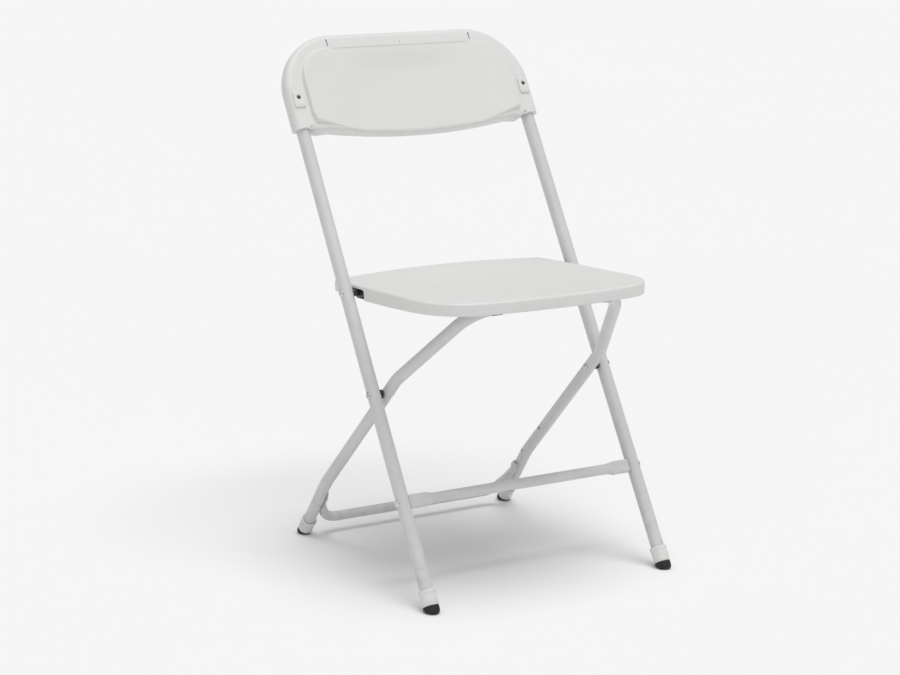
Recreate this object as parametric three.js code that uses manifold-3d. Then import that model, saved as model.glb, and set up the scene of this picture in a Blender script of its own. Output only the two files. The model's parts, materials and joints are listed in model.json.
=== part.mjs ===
// Folding chair: a steel tube frame that folds flat, with a moulded plastic seat and backrest.
// Millimetres, +Z up. The chair faces -Y, the floor is Z = 0 and the chair is symmetric about X = 0.
// The front frame leans back; its own axes are X, Y to the rear of the lean and Z up the leg.
import * as THREE from 'three';
import { mergeVertices } from 'three/addons/utils/BufferGeometryUtils.js';
import Module from 'manifold-3d';

const wasm = await Module();
wasm.setup();

// ---- driving dimensions ------------------------------------------------------------------
const GAP = 0.3;                       // clearance between touching pieces
const FRONT_FOOT_Y = -243.8;           // where the front leg axis meets the floor
const LEAN = THREE.MathUtils.degToRad(31.6);
const FRONT_HALF_FOOT = 212;           // half spacing of the front leg axes at the floor
const FRONT_HALF_TOP = 208.5;          // and at the top bow
const FRONT_R = 10.5;                  // front frame tube, flattened on its outer and inner side
const FRONT_FLAT = 9.6;
const FRAME_TOP = 928;                 // bow axis, measured up the leg from the floor
const BOW_R = 86;
const WALL = 1.3;                      // steel tube wall

const SEAT_PIVOT_UP = 510.7;           // pivots on the front leg, measured up the leg
const CROSS_PIVOT_UP = 344;
const CROSSBAR_UP = 172;

const REAR_R = 9.5;                    // rear leg tube
const REAR_TILT = THREE.MathUtils.degToRad(44.95);
const REAR_HALF_FOOT = 194;
const REAR_HALF_BEND = 186.5;
const REAR_BEND_UP = 38.9;             // along the rear leg, from the cross pivot
const CROSS_TUBE_UP = 217;
const CROSS_TUBE_HALF = 129.5;         // corner of the loop before rounding
const CROSS_TUBE_DROP = -2.4;          // the loop nods slightly forward of the leg line
const KNEE_DOWN = 267.1;
const REAR_FOOT_DOWN = 394;
const REAR_FOOT_OFFSET = -20.1;
const KNEE_R = 150;
const LOOP_R = 57;

const SEAT_SLOPE = THREE.MathUtils.degToRad(3.06);
const SEAT_HALF = 197;
const SEAT_HALF_REAR = 194.5;
const SEAT_FRONT = -281.2;             // from the seat pivot, along the seat
const SEAT_FRONT_BOW = 10.6;
const SEAT_CORNER_R = 82;
const SEAT_REAR = 72;
const SEAT_REAR_R = 9;
const SEAT_REAR_ARCH = 6;
const SEAT_TOP = 12.2;                 // rim height above the pivot
const SEAT_BOTTOM = -6.8;              // lower edge of the skirt, front and rear
const SKIRT_BOTTOM = -10;              // and beside the hinges
const SEAT_WALL = 2.8;
const SEAT_DISH = 4.6;
const SEAT_DISH_Y = -112;

const BACK_HALF = 224;
const BACK_TOP = 942;
const BACK_CORNER_R = 100;
const BACK_BOTTOM = 783;               // lower end of the sleeves
const BACK_BOTTOM_MID = 765;
const BACK_THICK = 14;                 // either side of the tube axis
const BACK_WALL = 2.6;
const PAD_HALF = 193;
const PAD_TOP = 917;
const PAD_FRONT = 21;
const PAD_CORNER_R = 56;
const PAD_BOTTOM_SIDE = 793;
const PAD_BOTTOM_MID = 767;
const PAD_HOLLOW = 13;                 // how far the middle of the pad lies behind its sides

const RIVET_R = 3;
const RIVET_HEAD_R = 6;
const RIVET_HEAD = 2.2;

// ---- solids ------------------------------------------------------------------------------
function solid(geometry) {
  // a closed three.js geometry as a manifold solid, turned to face outwards
  const bare = geometry.clone();
  bare.deleteAttribute('normal');
  bare.deleteAttribute('uv');
  const merged = mergeVertices(bare, 1e-4);
  const points = merged.attributes.position.array;
  const faces = merged.index.array;
  const a = new THREE.Vector3();
  const b = new THREE.Vector3();
  const c = new THREE.Vector3();
  let volume = 0;
  for (let i = 0; i < faces.length; i += 3) {
    a.fromArray(points, 3 * faces[i]);
    b.fromArray(points, 3 * faces[i + 1]);
    c.fromArray(points, 3 * faces[i + 2]);
    volume += a.dot(b.cross(c));
  }
  const triVerts = new Uint32Array(faces);
  if (volume < 0) triVerts.reverse();
  const mesh = new wasm.Mesh({ numProp: 3, vertProperties: new Float32Array(points), triVerts });
  return new wasm.Manifold(mesh);
}

function surface(manifold) {
  const mesh = manifold.getMesh();
  const geometry = new THREE.BufferGeometry();
  geometry.setAttribute('position', new THREE.BufferAttribute(new Float32Array(mesh.vertProperties), 3));
  geometry.setIndex(new THREE.BufferAttribute(new Uint32Array(mesh.triVerts), 1));
  geometry.computeVertexNormals();
  return geometry;
}

const union = (...parts) => parts.reduce((sum, part) => sum.add(part));
const minus = (base, ...tools) => tools.reduce((rest, tool) => rest.subtract(tool), base);

function box(x0, x1, y0, y1, z0, z1) {
  const geometry = new THREE.BoxGeometry(x1 - x0, y1 - y0, z1 - z0);
  geometry.translate((x0 + x1) / 2, (y0 + y1) / 2, (z0 + z1) / 2);
  return solid(geometry);
}

function turned(profile, axis, at, segments = 24) {
  // a solid of revolution; profile is [radius, distance along the axis] from end to end
  const geometry = new THREE.LatheGeometry(profile.map(([r, h]) => new THREE.Vector2(r, h)), segments);
  if (axis === 'x') geometry.rotateZ(-Math.PI / 2);
  if (axis === '-x') geometry.rotateZ(Math.PI / 2);
  if (axis === 'z') geometry.rotateX(Math.PI / 2);
  geometry.translate(...at);
  return solid(geometry);
}

const rod = (radius, from, to, axis, at, segments) =>
  turned([[0, from], [radius, from], [radius, to], [0, to]], axis, at, segments);

function plate(shape, from, to, bevel = 0, bevelSegments = 3) {
  // an outline in X and Y, thick along Z, rounded on both faces; the outline keeps its size
  const geometry = new THREE.ExtrudeGeometry(shape, {
    depth: to - from - 2 * bevel,
    bevelEnabled: bevel > 0,
    bevelThickness: bevel,
    bevelSize: bevel,
    bevelOffset: -bevel,
    bevelSegments,
    curveSegments: 7,
  });
  geometry.translate(0, 0, from + bevel);
  return geometry;
}

// the same with the outline in X and Z, from the front face to the rear face along Y
const upright = (shape, front, rear, bevel) =>
  solid(plate(shape, -rear, -front, bevel).rotateX(Math.PI / 2));

// and with the outline lying flat
const flat = (shape, bottom, top, bevel) => solid(plate(shape, bottom, top, bevel));

// an outline given as points in Y and Z, from one X to another
function sideways(outline, from, to) {
  const shape = new THREE.Shape(outline.map(([y, z]) => new THREE.Vector2(y, z)));
  const geometry = new THREE.ExtrudeGeometry(shape, { depth: to - from, bevelEnabled: false });
  geometry.rotateZ(Math.PI / 2);
  geometry.rotateY(Math.PI / 2);
  geometry.translate(from, 0, 0);
  return solid(geometry);
}

// a box between two distances out from the middle, on one side of the chair
const sideBox = (side, inner, outer, ...rest) =>
  box(Math.min(side * inner, side * outer), Math.max(side * inner, side * outer), ...rest);

// ---- bent tubes --------------------------------------------------------------------------
class BentPath extends THREE.Curve {
  // straight runs joined by round bends; equal steps of u fall on the stations
  constructor(corners, radii, perBend) {
    super();
    this.stations = [];
    const add = (point, tangent) => this.stations.push({ point, tangent });
    const first = corners[1].clone().sub(corners[0]).normalize();
    add(corners[0].clone(), first);
    for (let i = 1; i < corners.length - 1; i += 1) {
      const before = corners[i].clone().sub(corners[i - 1]).normalize();
      const after = corners[i + 1].clone().sub(corners[i]).normalize();
      const turn = before.angleTo(after);
      const setback = radii[i - 1] * Math.tan(turn / 2);
      const start = corners[i].clone().addScaledVector(before, -setback);
      const side = after.clone().addScaledVector(before, -after.dot(before)).normalize();
      const steps = Math.max(2, Math.round((perBend * turn) / (Math.PI / 2)));
      for (let k = 0; k <= steps; k += 1) {
        const angle = (turn * k) / steps;
        const point = start.clone()
          .addScaledVector(before, radii[i - 1] * Math.sin(angle))
          .addScaledVector(side, radii[i - 1] * (1 - Math.cos(angle)));
        const tangent = before.clone().multiplyScalar(Math.cos(angle))
          .addScaledVector(side, Math.sin(angle));
        add(point, tangent);
      }
    }
    const last = corners[corners.length - 1];
    add(last.clone(), last.clone().sub(corners[corners.length - 2]).normalize());
  }

  get steps() {
    return this.stations.length - 1;
  }

  getPointAt(u, target = new THREE.Vector3()) {
    return target.copy(this.stations[Math.round(u * this.steps)].point);
  }

  getTangentAt(u, target = new THREE.Vector3()) {
    return target.copy(this.stations[Math.round(u * this.steps)].tangent);
  }
}

function flatSided(radius, flat, arcSegments) {
  // a circle with two opposite flats, across the section's second axis
  const shape = new THREE.Shape();
  const edge = Math.asin(Math.min(1, flat / radius));
  const arc = (from, to) => {
    for (let i = 0; i <= arcSegments; i += 1) {
      const angle = from + ((to - from) * i) / arcSegments;
      const point = [radius * Math.cos(angle), radius * Math.sin(angle)];
      if (shape.curves.length === 0 && i === 0 && from < 0) shape.moveTo(...point);
      else shape.lineTo(...point);
    }
  };
  arc(-edge, edge);
  arc(Math.PI - edge, Math.PI + edge);
  shape.closePath();
  return shape;
}

function circle(radius, segments) {
  const shape = new THREE.Shape();
  for (let i = 0; i < segments; i += 1) {
    const angle = (2 * Math.PI * i) / segments;
    const point = [radius * Math.cos(angle), radius * Math.sin(angle)];
    if (i === 0) shape.moveTo(...point);
    else shape.lineTo(...point);
  }
  shape.closePath();
  return shape;
}

function sweep(shape, path) {
  return solid(new THREE.ExtrudeGeometry(shape, { steps: path.steps, extrudePath: path }));
}

const vec = (x, y, z) => new THREE.Vector3(x, y, z);
const mirrored = (points) => {
  const other = points.map((p) => vec(-p.x, p.y, p.z)).reverse();
  return [...points, ...other];
};

// ---- groups and pieces -------------------------------------------------------------------
const chair = new THREE.Group();
chair.name = 'folding_chair';

const frontFrame = new THREE.Group();
frontFrame.position.set(0, FRONT_FOOT_Y, 0);
frontFrame.rotation.x = -LEAN;

const onFrontLeg = (up) => vec(0, up * Math.sin(LEAN) + FRONT_FOOT_Y, up * Math.cos(LEAN));

const rearLegs = new THREE.Group();
rearLegs.position.copy(onFrontLeg(CROSS_PIVOT_UP));
rearLegs.rotation.x = REAR_TILT;

const seat = new THREE.Group();
seat.position.copy(onFrontLeg(SEAT_PIVOT_UP));
seat.rotation.x = -SEAT_SLOPE;

chair.add(frontFrame, rearLegs, seat);
chair.updateMatrixWorld(true);

const finish = {
  paint: { color: 0xd9dad8, roughness: 0.42, metalness: 0.1 },
  plastic: { color: 0xe6e6e4, roughness: 0.55, metalness: 0 },
  steel: { color: 0xa6a7a8, roughness: 0.3, metalness: 1 },
  darkSteel: { color: 0x55565a, roughness: 0.45, metalness: 0.9 },
  darkPlastic: { color: 0x3a3b3d, roughness: 0.6, metalness: 0 },
  cap: { color: 0xe2e2de, roughness: 0.5, metalness: 0 },
  rubber: { color: 0x151515, roughness: 0.85, metalness: 0 },
};

function piece(group, name, manifold, look) {
  const mesh = new THREE.Mesh(surface(manifold), new THREE.MeshStandardMaterial({ ...look, name }));
  mesh.name = name;
  group.add(mesh);
  return mesh;
}

const sides = [['left', -1], ['right', 1]];

const BEYOND = 450;                    // well past every face of the chair

function belowFloor(group) {
  // everything under the floor, in the group's own axes
  const geometry = new THREE.BoxGeometry(2 * BEYOND, 2 * BEYOND, BEYOND);
  geometry.translate(0, 0, -BEYOND / 2);
  geometry.applyMatrix4(group.matrixWorld.clone().invert());
  return solid(geometry);
}

// half spacing of a leg at a height between two known ones
const between = (from, to, start, end, at) => from + ((to - from) * (at - start)) / (end - start);
const frontHalf = (up) => between(FRONT_HALF_FOOT, FRONT_HALF_TOP, 0, FRAME_TOP, up);
const rearHalf = (up) => between(REAR_HALF_BEND, REAR_HALF_FOOT, REAR_BEND_UP, -REAR_FOOT_DOWN, up);

// ---- front frame: both front legs, both uprights and the bow in one bent tube ---------------
const FRONT_TUBE_START = 18;           // the tube ends above the floor, inside its foot cap
const RIVET_HOLE_R = RIVET_R + GAP;
const SCREW_R = 1.7;
const BACK_SCREW_UP = 835;
const BACK_SCREW_X = 209;

const frontPath = new BentPath(mirrored([
  vec(-frontHalf(FRONT_TUBE_START), 0, FRONT_TUBE_START),
  vec(-FRONT_HALF_TOP, 0, FRAME_TOP),
]), [BOW_R, BOW_R], 7);

const acrossHole = (radius, y, z) => rod(radius, -BEYOND, BEYOND, 'x', [0, y, z], 16);

// a turned solid whose axis points forward through one of the backrest's screw places
const forward = (profile, x, up, segments = 16) =>
  turned(profile, 'z', [0, 0, 0], segments).rotate([90, 0, 0]).translate([x, 0, up]);

piece(frontFrame, 'front_frame', minus(
  sweep(flatSided(FRONT_R, FRONT_FLAT, 7), frontPath),
  sweep(flatSided(FRONT_R - WALL, FRONT_FLAT - WALL, 7), new BentPath(mirrored([
    vec(-frontHalf(FRONT_TUBE_START - 1), 0, FRONT_TUBE_START - 1),
    vec(-FRONT_HALF_TOP, 0, FRAME_TOP),
  ]), [BOW_R, BOW_R], 7)),
  ...[SEAT_PIVOT_UP, CROSS_PIVOT_UP, CROSSBAR_UP].map((up) => acrossHole(RIVET_HOLE_R, 0, up)),
  ...sides.map(([, side]) => forward(
    [[0, 0], [SCREW_R + GAP, 0], [SCREW_R + GAP, 2 * FRONT_R], [0, 2 * FRONT_R]],
    side * BACK_SCREW_X, BACK_SCREW_UP,
  )),
), finish.paint);

// ---- front crossbar: a tube with flattened ends between the front legs ---------------------
const CROSSBAR_R = 8.2;
const PADDLE_LENGTH = 26;
const PADDLE_EASE = 22;                // from the flat end to the round middle
const PADDLE_STEPS = 5;
const PADDLE_RIVET = 18;               // the rivet ends this far inside the paddle
const PADDLE_HALF_HEIGHT = 10.5;
const PADDLE_HALF_THICK = 5.4;
const CROSSBAR_HALF = frontHalf(CROSSBAR_UP) - FRONT_FLAT - GAP;

function crossbar() {
  const stations = [];
  const add = (x, high, thick) => stations.push({ x, high, thick });
  add(-CROSSBAR_HALF, PADDLE_HALF_HEIGHT, PADDLE_HALF_THICK);
  add(-CROSSBAR_HALF + PADDLE_LENGTH, PADDLE_HALF_HEIGHT, PADDLE_HALF_THICK);
  for (let i = 1; i <= PADDLE_STEPS; i += 1) {
    const ease = 0.5 - 0.5 * Math.cos((Math.PI * i) / PADDLE_STEPS);
    add(
      -CROSSBAR_HALF + PADDLE_LENGTH + PADDLE_EASE * (i / PADDLE_STEPS),
      PADDLE_HALF_HEIGHT + (CROSSBAR_R - PADDLE_HALF_HEIGHT) * ease,
      PADDLE_HALF_THICK + (CROSSBAR_R - PADDLE_HALF_THICK) * ease,
    );
  }
  const all = [...stations, ...stations.map((s) => ({ ...s, x: -s.x })).reverse()];
  const around = 20;
  const geometry = new THREE.CylinderGeometry(1, 1, 1, around, all.length - 1);
  geometry.rotateZ(Math.PI / 2);
  const points = geometry.attributes.position;
  for (let i = 0; i < points.count; i += 1) {
    const row = all[Math.round((points.getX(i) + 0.5) * (all.length - 1))];
    points.setXYZ(i, row.x, points.getY(i) * row.thick, points.getZ(i) * row.high);
  }
  return solid(geometry);
}

const CROSSBAR_CORE = 52;              // the round middle is hollow up to this far from each end
piece(frontFrame, 'front_crossbar', minus(
  crossbar().translate([0, 0, CROSSBAR_UP]),
  rod(CROSSBAR_R - WALL, CROSSBAR_CORE - CROSSBAR_HALF, CROSSBAR_HALF - CROSSBAR_CORE, 'x',
    [0, 0, CROSSBAR_UP], 20),
  acrossHole(RIVET_HOLE_R, 0, CROSSBAR_UP),
), finish.paint);

// ---- rivets: a domed head outside, a shank, and a smaller head inside -----------------------
function rivet(outer, inner, innerHeadRadius) {
  // outer and inner are the faces that the heads bear on, as distances from the middle plane
  const head = (radius, height) => [
    [radius, 0],
    [radius * 0.94, height * 0.55],
    [radius * 0.62, height * 0.92],
    [0, height],
  ];
  const outside = head(RIVET_HEAD_R, RIVET_HEAD).map(([r, h]) => [r, outer + GAP + h]);
  const inside = innerHeadRadius > 0
    ? head(innerHeadRadius, INNER_HEAD).map(([r, h]) => [r, inner - GAP - h]).reverse()
    : [[0, inner]];
  return [...inside, [RIVET_R, inside[inside.length - 1][1]], [RIVET_R, outer + GAP], ...outside];
}

function washer(side, rim, from, to) {
  const bore = RIVET_HOLE_R;
  const profile = [[bore, from], [rim, from], [rim, to], [bore, to], [bore, from]];
  return turned(profile, side > 0 ? 'x' : '-x', [0, 0, 0], 24);
}

const HINGE_PLATE_OUT = 191.2;         // the hinge plate under each side of the seat
const HINGE_PLATE = 2;
const INNER_HEAD_R = 4.6;
const INNER_HEAD = 0.8 * RIVET_HEAD;
const rivets = [
  ['seat_pivot_rivet', SEAT_PIVOT_UP, HINGE_PLATE_OUT - HINGE_PLATE, INNER_HEAD_R],
  ['cross_pivot_rivet', CROSS_PIVOT_UP, rearHalf(0) - REAR_R, INNER_HEAD_R],
  ['crossbar_rivet', CROSSBAR_UP, CROSSBAR_HALF - PADDLE_RIVET, 0],
];
for (const [name, up, inner, innerHead] of rivets) {
  for (const [word, side] of sides) {
    const profile = rivet(frontHalf(up) + FRONT_FLAT, inner, innerHead);
    const lathe = turned(profile, side > 0 ? 'x' : '-x', [0, 0, 0], 16);
    piece(frontFrame, `${name}_${word}`, lathe, finish.steel).position.z = up;
  }
}

// ---- backrest: a front shell with a raised, hollowed pad, and a plain rear shell ------------
const SAG_HALF = 80;                   // half width of the lower edge's lowest stretch

function backOutline(inset) {
  // sleeves over the tube at both sides, round top corners, and a bottom edge that sags between
  const half = BACK_HALF - inset;
  const radius = BACK_CORNER_R - inset;
  const top = BACK_TOP - inset;
  const shape = new THREE.Shape();
  const sleeveInner = half - 2 * BACK_THICK + 2 * inset;
  shape.moveTo(-half, BACK_BOTTOM + inset);
  shape.lineTo(-sleeveInner, BACK_BOTTOM + inset);
  shape.bezierCurveTo(
    -sleeveInner + 10, BACK_BOTTOM - 12 + inset,
    -sleeveInner + 24, BACK_BOTTOM - 2 + inset,
    -sleeveInner + 40, BACK_BOTTOM - 6 + inset,
  );
  shape.quadraticCurveTo(-SAG_HALF, BACK_BOTTOM_MID + inset, 0, BACK_BOTTOM_MID + inset);
  shape.quadraticCurveTo(
    SAG_HALF, BACK_BOTTOM_MID + inset, sleeveInner - 40, BACK_BOTTOM - 6 + inset,
  );
  shape.bezierCurveTo(
    sleeveInner - 24, BACK_BOTTOM - 2 + inset,
    sleeveInner - 10, BACK_BOTTOM - 12 + inset,
    sleeveInner, BACK_BOTTOM + inset,
  );
  shape.lineTo(half, BACK_BOTTOM + inset);
  shape.absarc(half - radius, top - radius, radius, 0, Math.PI / 2, false);
  shape.absarc(-half + radius, top - radius, radius, Math.PI / 2, Math.PI, false);
  shape.closePath();
  return shape;
}

const PAD_SAG_HALF = 90;
const PAD_CHAMFER = 4;                 // its lower corners are drawn in by this much
const PAD_CHAMFER_UP = 14;

function padOutline(inset) {
  const half = PAD_HALF - inset;
  const radius = PAD_CORNER_R - inset;
  const top = PAD_TOP - inset;
  const shape = new THREE.Shape();
  shape.moveTo(-half + PAD_CHAMFER, PAD_BOTTOM_SIDE + inset);
  shape.quadraticCurveTo(-PAD_SAG_HALF, PAD_BOTTOM_MID + 1 + inset, 0, PAD_BOTTOM_MID + inset);
  shape.quadraticCurveTo(
    PAD_SAG_HALF, PAD_BOTTOM_MID + 1 + inset, half - PAD_CHAMFER, PAD_BOTTOM_SIDE + inset,
  );
  shape.lineTo(half, PAD_BOTTOM_SIDE + PAD_CHAMFER_UP);
  shape.absarc(half - radius, top - radius, radius, 0, Math.PI / 2, false);
  shape.absarc(-half + radius, top - radius, radius, Math.PI / 2, Math.PI, false);
  shape.lineTo(-half, PAD_BOTTOM_SIDE + PAD_CHAMFER_UP);
  shape.closePath();
  return shape;
}

const BELOW_BACK = 700;                // heights up the leg that clear the backrest
const ABOVE_BACK = 1000;
const BEFORE_BACK = 60;                // and a distance before or behind it that does

function padHollow(shift) {
  // everything in front of the pad's hollow face, a shallow arc across the chair
  const steps = 14;
  const reach = PAD_HALF + 12;
  const shape = new THREE.Shape();
  shape.moveTo(-reach, PAD_FRONT + BEFORE_BACK);
  for (let i = 0; i <= steps; i += 1) {
    const x = -reach + (2 * reach * i) / steps;
    const front = PAD_FRONT - PAD_HOLLOW * (1 - (x / PAD_HALF) ** 2);
    shape.lineTo(x, front - shift);
  }
  shape.lineTo(reach, PAD_FRONT + BEFORE_BACK);
  shape.closePath();
  // drawn in X and forward distance, then stood up
  return flat(shape, BELOW_BACK, ABOVE_BACK, 0).scale([1, -1, 1]);
}

const BACK_EDGE_R = 9;
const PAD_EDGE_R = 5;
const BOSS_HALF_WIDTH = 9;             // raised block round each backrest screw
const BOSS_HALF_HEIGHT = 13.5;
const BOSS_FRONT = 17;
const BOSS_BELOW = 3;                  // its middle lies below the screw
const HEAD_SEAT = 13.2;                // the screw head bears here, in a counterbore
const COUNTERBORE_R = 3.6;
const SLIT_X = 131;                    // two slits above the pad
const SLIT_HALF = 1.2;
const SLIT_FROM = 922.5;
const SLIT_TO = 934.5;
const MOULD_MARK_UP = 925;
const MOULD_MARK_R = 1.1;
const tubeChannel = sweep(flatSided(FRONT_R + 2 * GAP, FRONT_FLAT + 2 * GAP, 7), frontPath);

function backrestFront() {
  const behind = box(-BEYOND, BEYOND, -GAP / 2, BEFORE_BACK, BELOW_BACK, ABOVE_BACK);
  const rim = upright(backOutline(0), -BACK_THICK, BACK_THICK, BACK_EDGE_R);
  const rimInside = upright(
    backOutline(BACK_WALL), -BACK_THICK + BACK_WALL, BACK_THICK, BACK_EDGE_R - BACK_WALL,
  );
  const padPrism = upright(padOutline(0), -BEFORE_BACK, 1, 0);
  const pad = minus(upright(padOutline(0), -PAD_FRONT, BACK_THICK, PAD_EDGE_R), padHollow(0));
  const padInside = minus(
    upright(padOutline(BACK_WALL), -PAD_FRONT + BACK_WALL, BACK_THICK, PAD_EDGE_R - BACK_WALL),
    padHollow(BACK_WALL),
  );
  const bossUp = BACK_SCREW_UP - BOSS_BELOW;
  const bosses = sides.map(([, side]) => box(
    side * BACK_SCREW_X - BOSS_HALF_WIDTH, side * BACK_SCREW_X + BOSS_HALF_WIDTH,
    -BOSS_FRONT, BACK_WALL - BACK_THICK, bossUp - BOSS_HALF_HEIGHT, bossUp + BOSS_HALF_HEIGHT,
  ));
  const screwHole = [
    [0, 0], [SCREW_R + GAP, 0], [SCREW_R + GAP, HEAD_SEAT],
    [COUNTERBORE_R, HEAD_SEAT], [COUNTERBORE_R, BEFORE_BACK], [0, BEFORE_BACK],
  ];
  const screwHoles = sides.map(([, side]) => forward(screwHole, side * BACK_SCREW_X, BACK_SCREW_UP));
  const slits = [-SLIT_X, SLIT_X].map((x) =>
    box(x - SLIT_HALF, x + SLIT_HALF, -BEFORE_BACK, -BACK_EDGE_R, SLIT_FROM, SLIT_TO));
  const mouldMark = forward(
    [[0, BACK_EDGE_R], [MOULD_MARK_R, BACK_EDGE_R], [MOULD_MARK_R, BEFORE_BACK], [0, BEFORE_BACK]],
    0, MOULD_MARK_UP, 12,
  );
  return minus(
    union(minus(rim, padPrism), pad, ...bosses),
    minus(rimInside, upright(padOutline(-BACK_WALL), -BEFORE_BACK, BEFORE_BACK, 0)),
    padInside,
    tubeChannel, ...screwHoles, ...slits, mouldMark, behind,
  );
}

function backrestRear() {
  const inFront = box(-BEYOND, BEYOND, -BEFORE_BACK, GAP / 2, BELOW_BACK, ABOVE_BACK);
  const rim = upright(backOutline(0), -BACK_THICK, BACK_THICK, BACK_EDGE_R);
  const inside = upright(
    backOutline(BACK_WALL), -BACK_THICK, BACK_THICK - BACK_WALL, BACK_EDGE_R - BACK_WALL,
  );
  return minus(rim, inside, tubeChannel, inFront);
}

piece(frontFrame, 'backrest_front_shell', backrestFront(), finish.plastic);
piece(frontFrame, 'backrest_rear_shell', backrestRear(), finish.plastic);
const backScrew = [
  [0, 2], [SCREW_R, 2], [SCREW_R, HEAD_SEAT + GAP],
  [3.2, HEAD_SEAT + GAP], [3.2, 14.8], [2.2, 15.6], [0, 15.8],
];
for (const [word, side] of sides) {
  const mesh = piece(frontFrame, `backrest_screw_${word}`, forward(backScrew, 0, 0), finish.darkSteel);
  mesh.position.set(side * BACK_SCREW_X, 0, BACK_SCREW_UP);
}

// ---- rear legs: one tube bent into two legs and the cross tube under the seat ---------------
const REAR_TUBE_CUT = 18;              // like the front tube, it ends inside its foot cap
const TOP_BEND_R = 60;
const CROSS_WASHER_R = 7.5;
const footDirection = vec(0, REAR_FOOT_OFFSET, KNEE_DOWN - REAR_FOOT_DOWN).normalize();
const rearFloor = (side) => vec(side * REAR_HALF_FOOT, REAR_FOOT_OFFSET, -REAR_FOOT_DOWN);
const knee = (side) => vec(side * rearHalf(-KNEE_DOWN), 0, -KNEE_DOWN);
const upFromFoot = (side) => knee(side).sub(rearFloor(side)).normalize();
const rearPoints = (cut) => {
  const left = -1;
  return mirrored([
    rearFloor(left).addScaledVector(upFromFoot(left), cut),
    knee(left),
    vec(-REAR_HALF_BEND, 0, REAR_BEND_UP),
    vec(-CROSS_TUBE_HALF, CROSS_TUBE_DROP, CROSS_TUBE_UP),
  ]);
};
const rearRadii = [KNEE_R, TOP_BEND_R, LOOP_R, LOOP_R, TOP_BEND_R, KNEE_R];
const rearPath = new BentPath(rearPoints(REAR_TUBE_CUT), rearRadii, 7);
piece(rearLegs, 'rear_leg_frame', minus(
  sweep(circle(REAR_R, 16), rearPath),
  sweep(circle(REAR_R - WALL, 16), new BentPath(rearPoints(REAR_TUBE_CUT - 1), rearRadii, 7)),
  acrossHole(RIVET_HOLE_R, 0, 0),
), finish.paint);

for (const [word, side] of sides) {
  const from = rearHalf(0) + REAR_R + GAP;
  const to = frontHalf(CROSS_PIVOT_UP) - FRONT_FLAT - GAP;
  piece(rearLegs, `cross_pivot_washer_${word}`, washer(side, CROSS_WASHER_R, from, to), finish.darkPlastic);
}

// ---- rear cross brace: a U of thinner tube welded inside the lower rear legs ----------------
const BRACE_R = 8;
const BRACE_BEND_R = 34;
const braceAlong = (down) => vec(0, 0, -KNEE_DOWN).addScaledVector(footDirection, down);
const BRACE_END_DOWN = 28;
const BRACE_RUN_DOWN = 97;
const braceHalf = (down) => rearHalf(-KNEE_DOWN - down) - REAR_R - BRACE_R - 1.5 * GAP;
const braceRadii = [BRACE_BEND_R, BRACE_BEND_R];
const bracePoints = (extra) => mirrored([
  braceAlong(BRACE_END_DOWN - extra).setX(-braceHalf(BRACE_END_DOWN)),
  braceAlong(BRACE_RUN_DOWN).setX(-braceHalf(BRACE_RUN_DOWN)),
]);
piece(rearLegs, 'rear_cross_brace', minus(
  sweep(circle(BRACE_R, 14), new BentPath(bracePoints(0), braceRadii, 6)),
  sweep(circle(BRACE_R - WALL, 14), new BentPath(bracePoints(1), braceRadii, 6)),
), finish.paint);

// ---- feet: a plastic cap cut square to the leg, and a rubber wedge from it to the floor --------
const CAP_WALL = 2.3;
const CAP_TOP = 35;                    // up the leg from the floor
const COLLAR = 0.9;                    // a thin collar runs round the cap near its top
const COLLAR_FROM = 31;
const COLLAR_TO = 34;
const PAD_LEAST = 2;                   // rubber under the cap's lowest point
const PAD_INSET = 0.4;

function foot(group, name, word, tubeRadius, axisPoint, axis, tubeCut) {
  // axis points up the leg from axisPoint on the floor
  const turn = new THREE.Quaternion().setFromUnitVectors(vec(0, 0, 1), axis);
  const place = (manifold) => {
    const matrix = new THREE.Matrix4().compose(axisPoint, turn, vec(1, 1, 1));
    return manifold.transform(matrix.elements);
  };
  const outer = tubeRadius + CAP_WALL;
  const rise = axis.clone().transformDirection(group.matrixWorld).z;
  const square = (PAD_LEAST + outer * Math.sqrt(1 - rise ** 2)) / rise;
  const cup = place(turned([
    [0, square + GAP], [outer, square + GAP], [outer, COLLAR_FROM - COLLAR],
    [outer + COLLAR, COLLAR_FROM], [outer + COLLAR, COLLAR_TO], [outer, CAP_TOP], [0, CAP_TOP],
  ], 'z', [0, 0, 0], 24));
  const bore = place(rod(tubeRadius + GAP, tubeCut - GAP, CAP_TOP + 1, 'z', [0, 0, 0], 24));
  const pad = place(rod(outer - PAD_INSET, -2 * outer, square, 'z', [0, 0, 0], 24));
  piece(group, `${name}_foot_cap_${word}`, minus(cup, bore), finish.cap);
  piece(group, `${name}_foot_pad_${word}`, minus(pad, belowFloor(group)), finish.rubber);
}

for (const [word, side] of sides) {
  const frontAxis = vec(side * (FRONT_HALF_TOP - FRONT_HALF_FOOT), 0, FRAME_TOP).normalize();
  const frontFloor = vec(side * FRONT_HALF_FOOT, 0, 0);
  foot(frontFrame, 'front', word, FRONT_R, frontFloor, frontAxis, FRONT_TUBE_START);
  foot(rearLegs, 'rear', word, REAR_R, rearFloor(side), upFromFoot(side), REAR_TUBE_CUT);
}

// ---- seat: a shallow dished shell with a skirt, open underneath ----------------------------
const REAR_CORNER_TURN = 0.4 * Math.PI;

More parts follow.
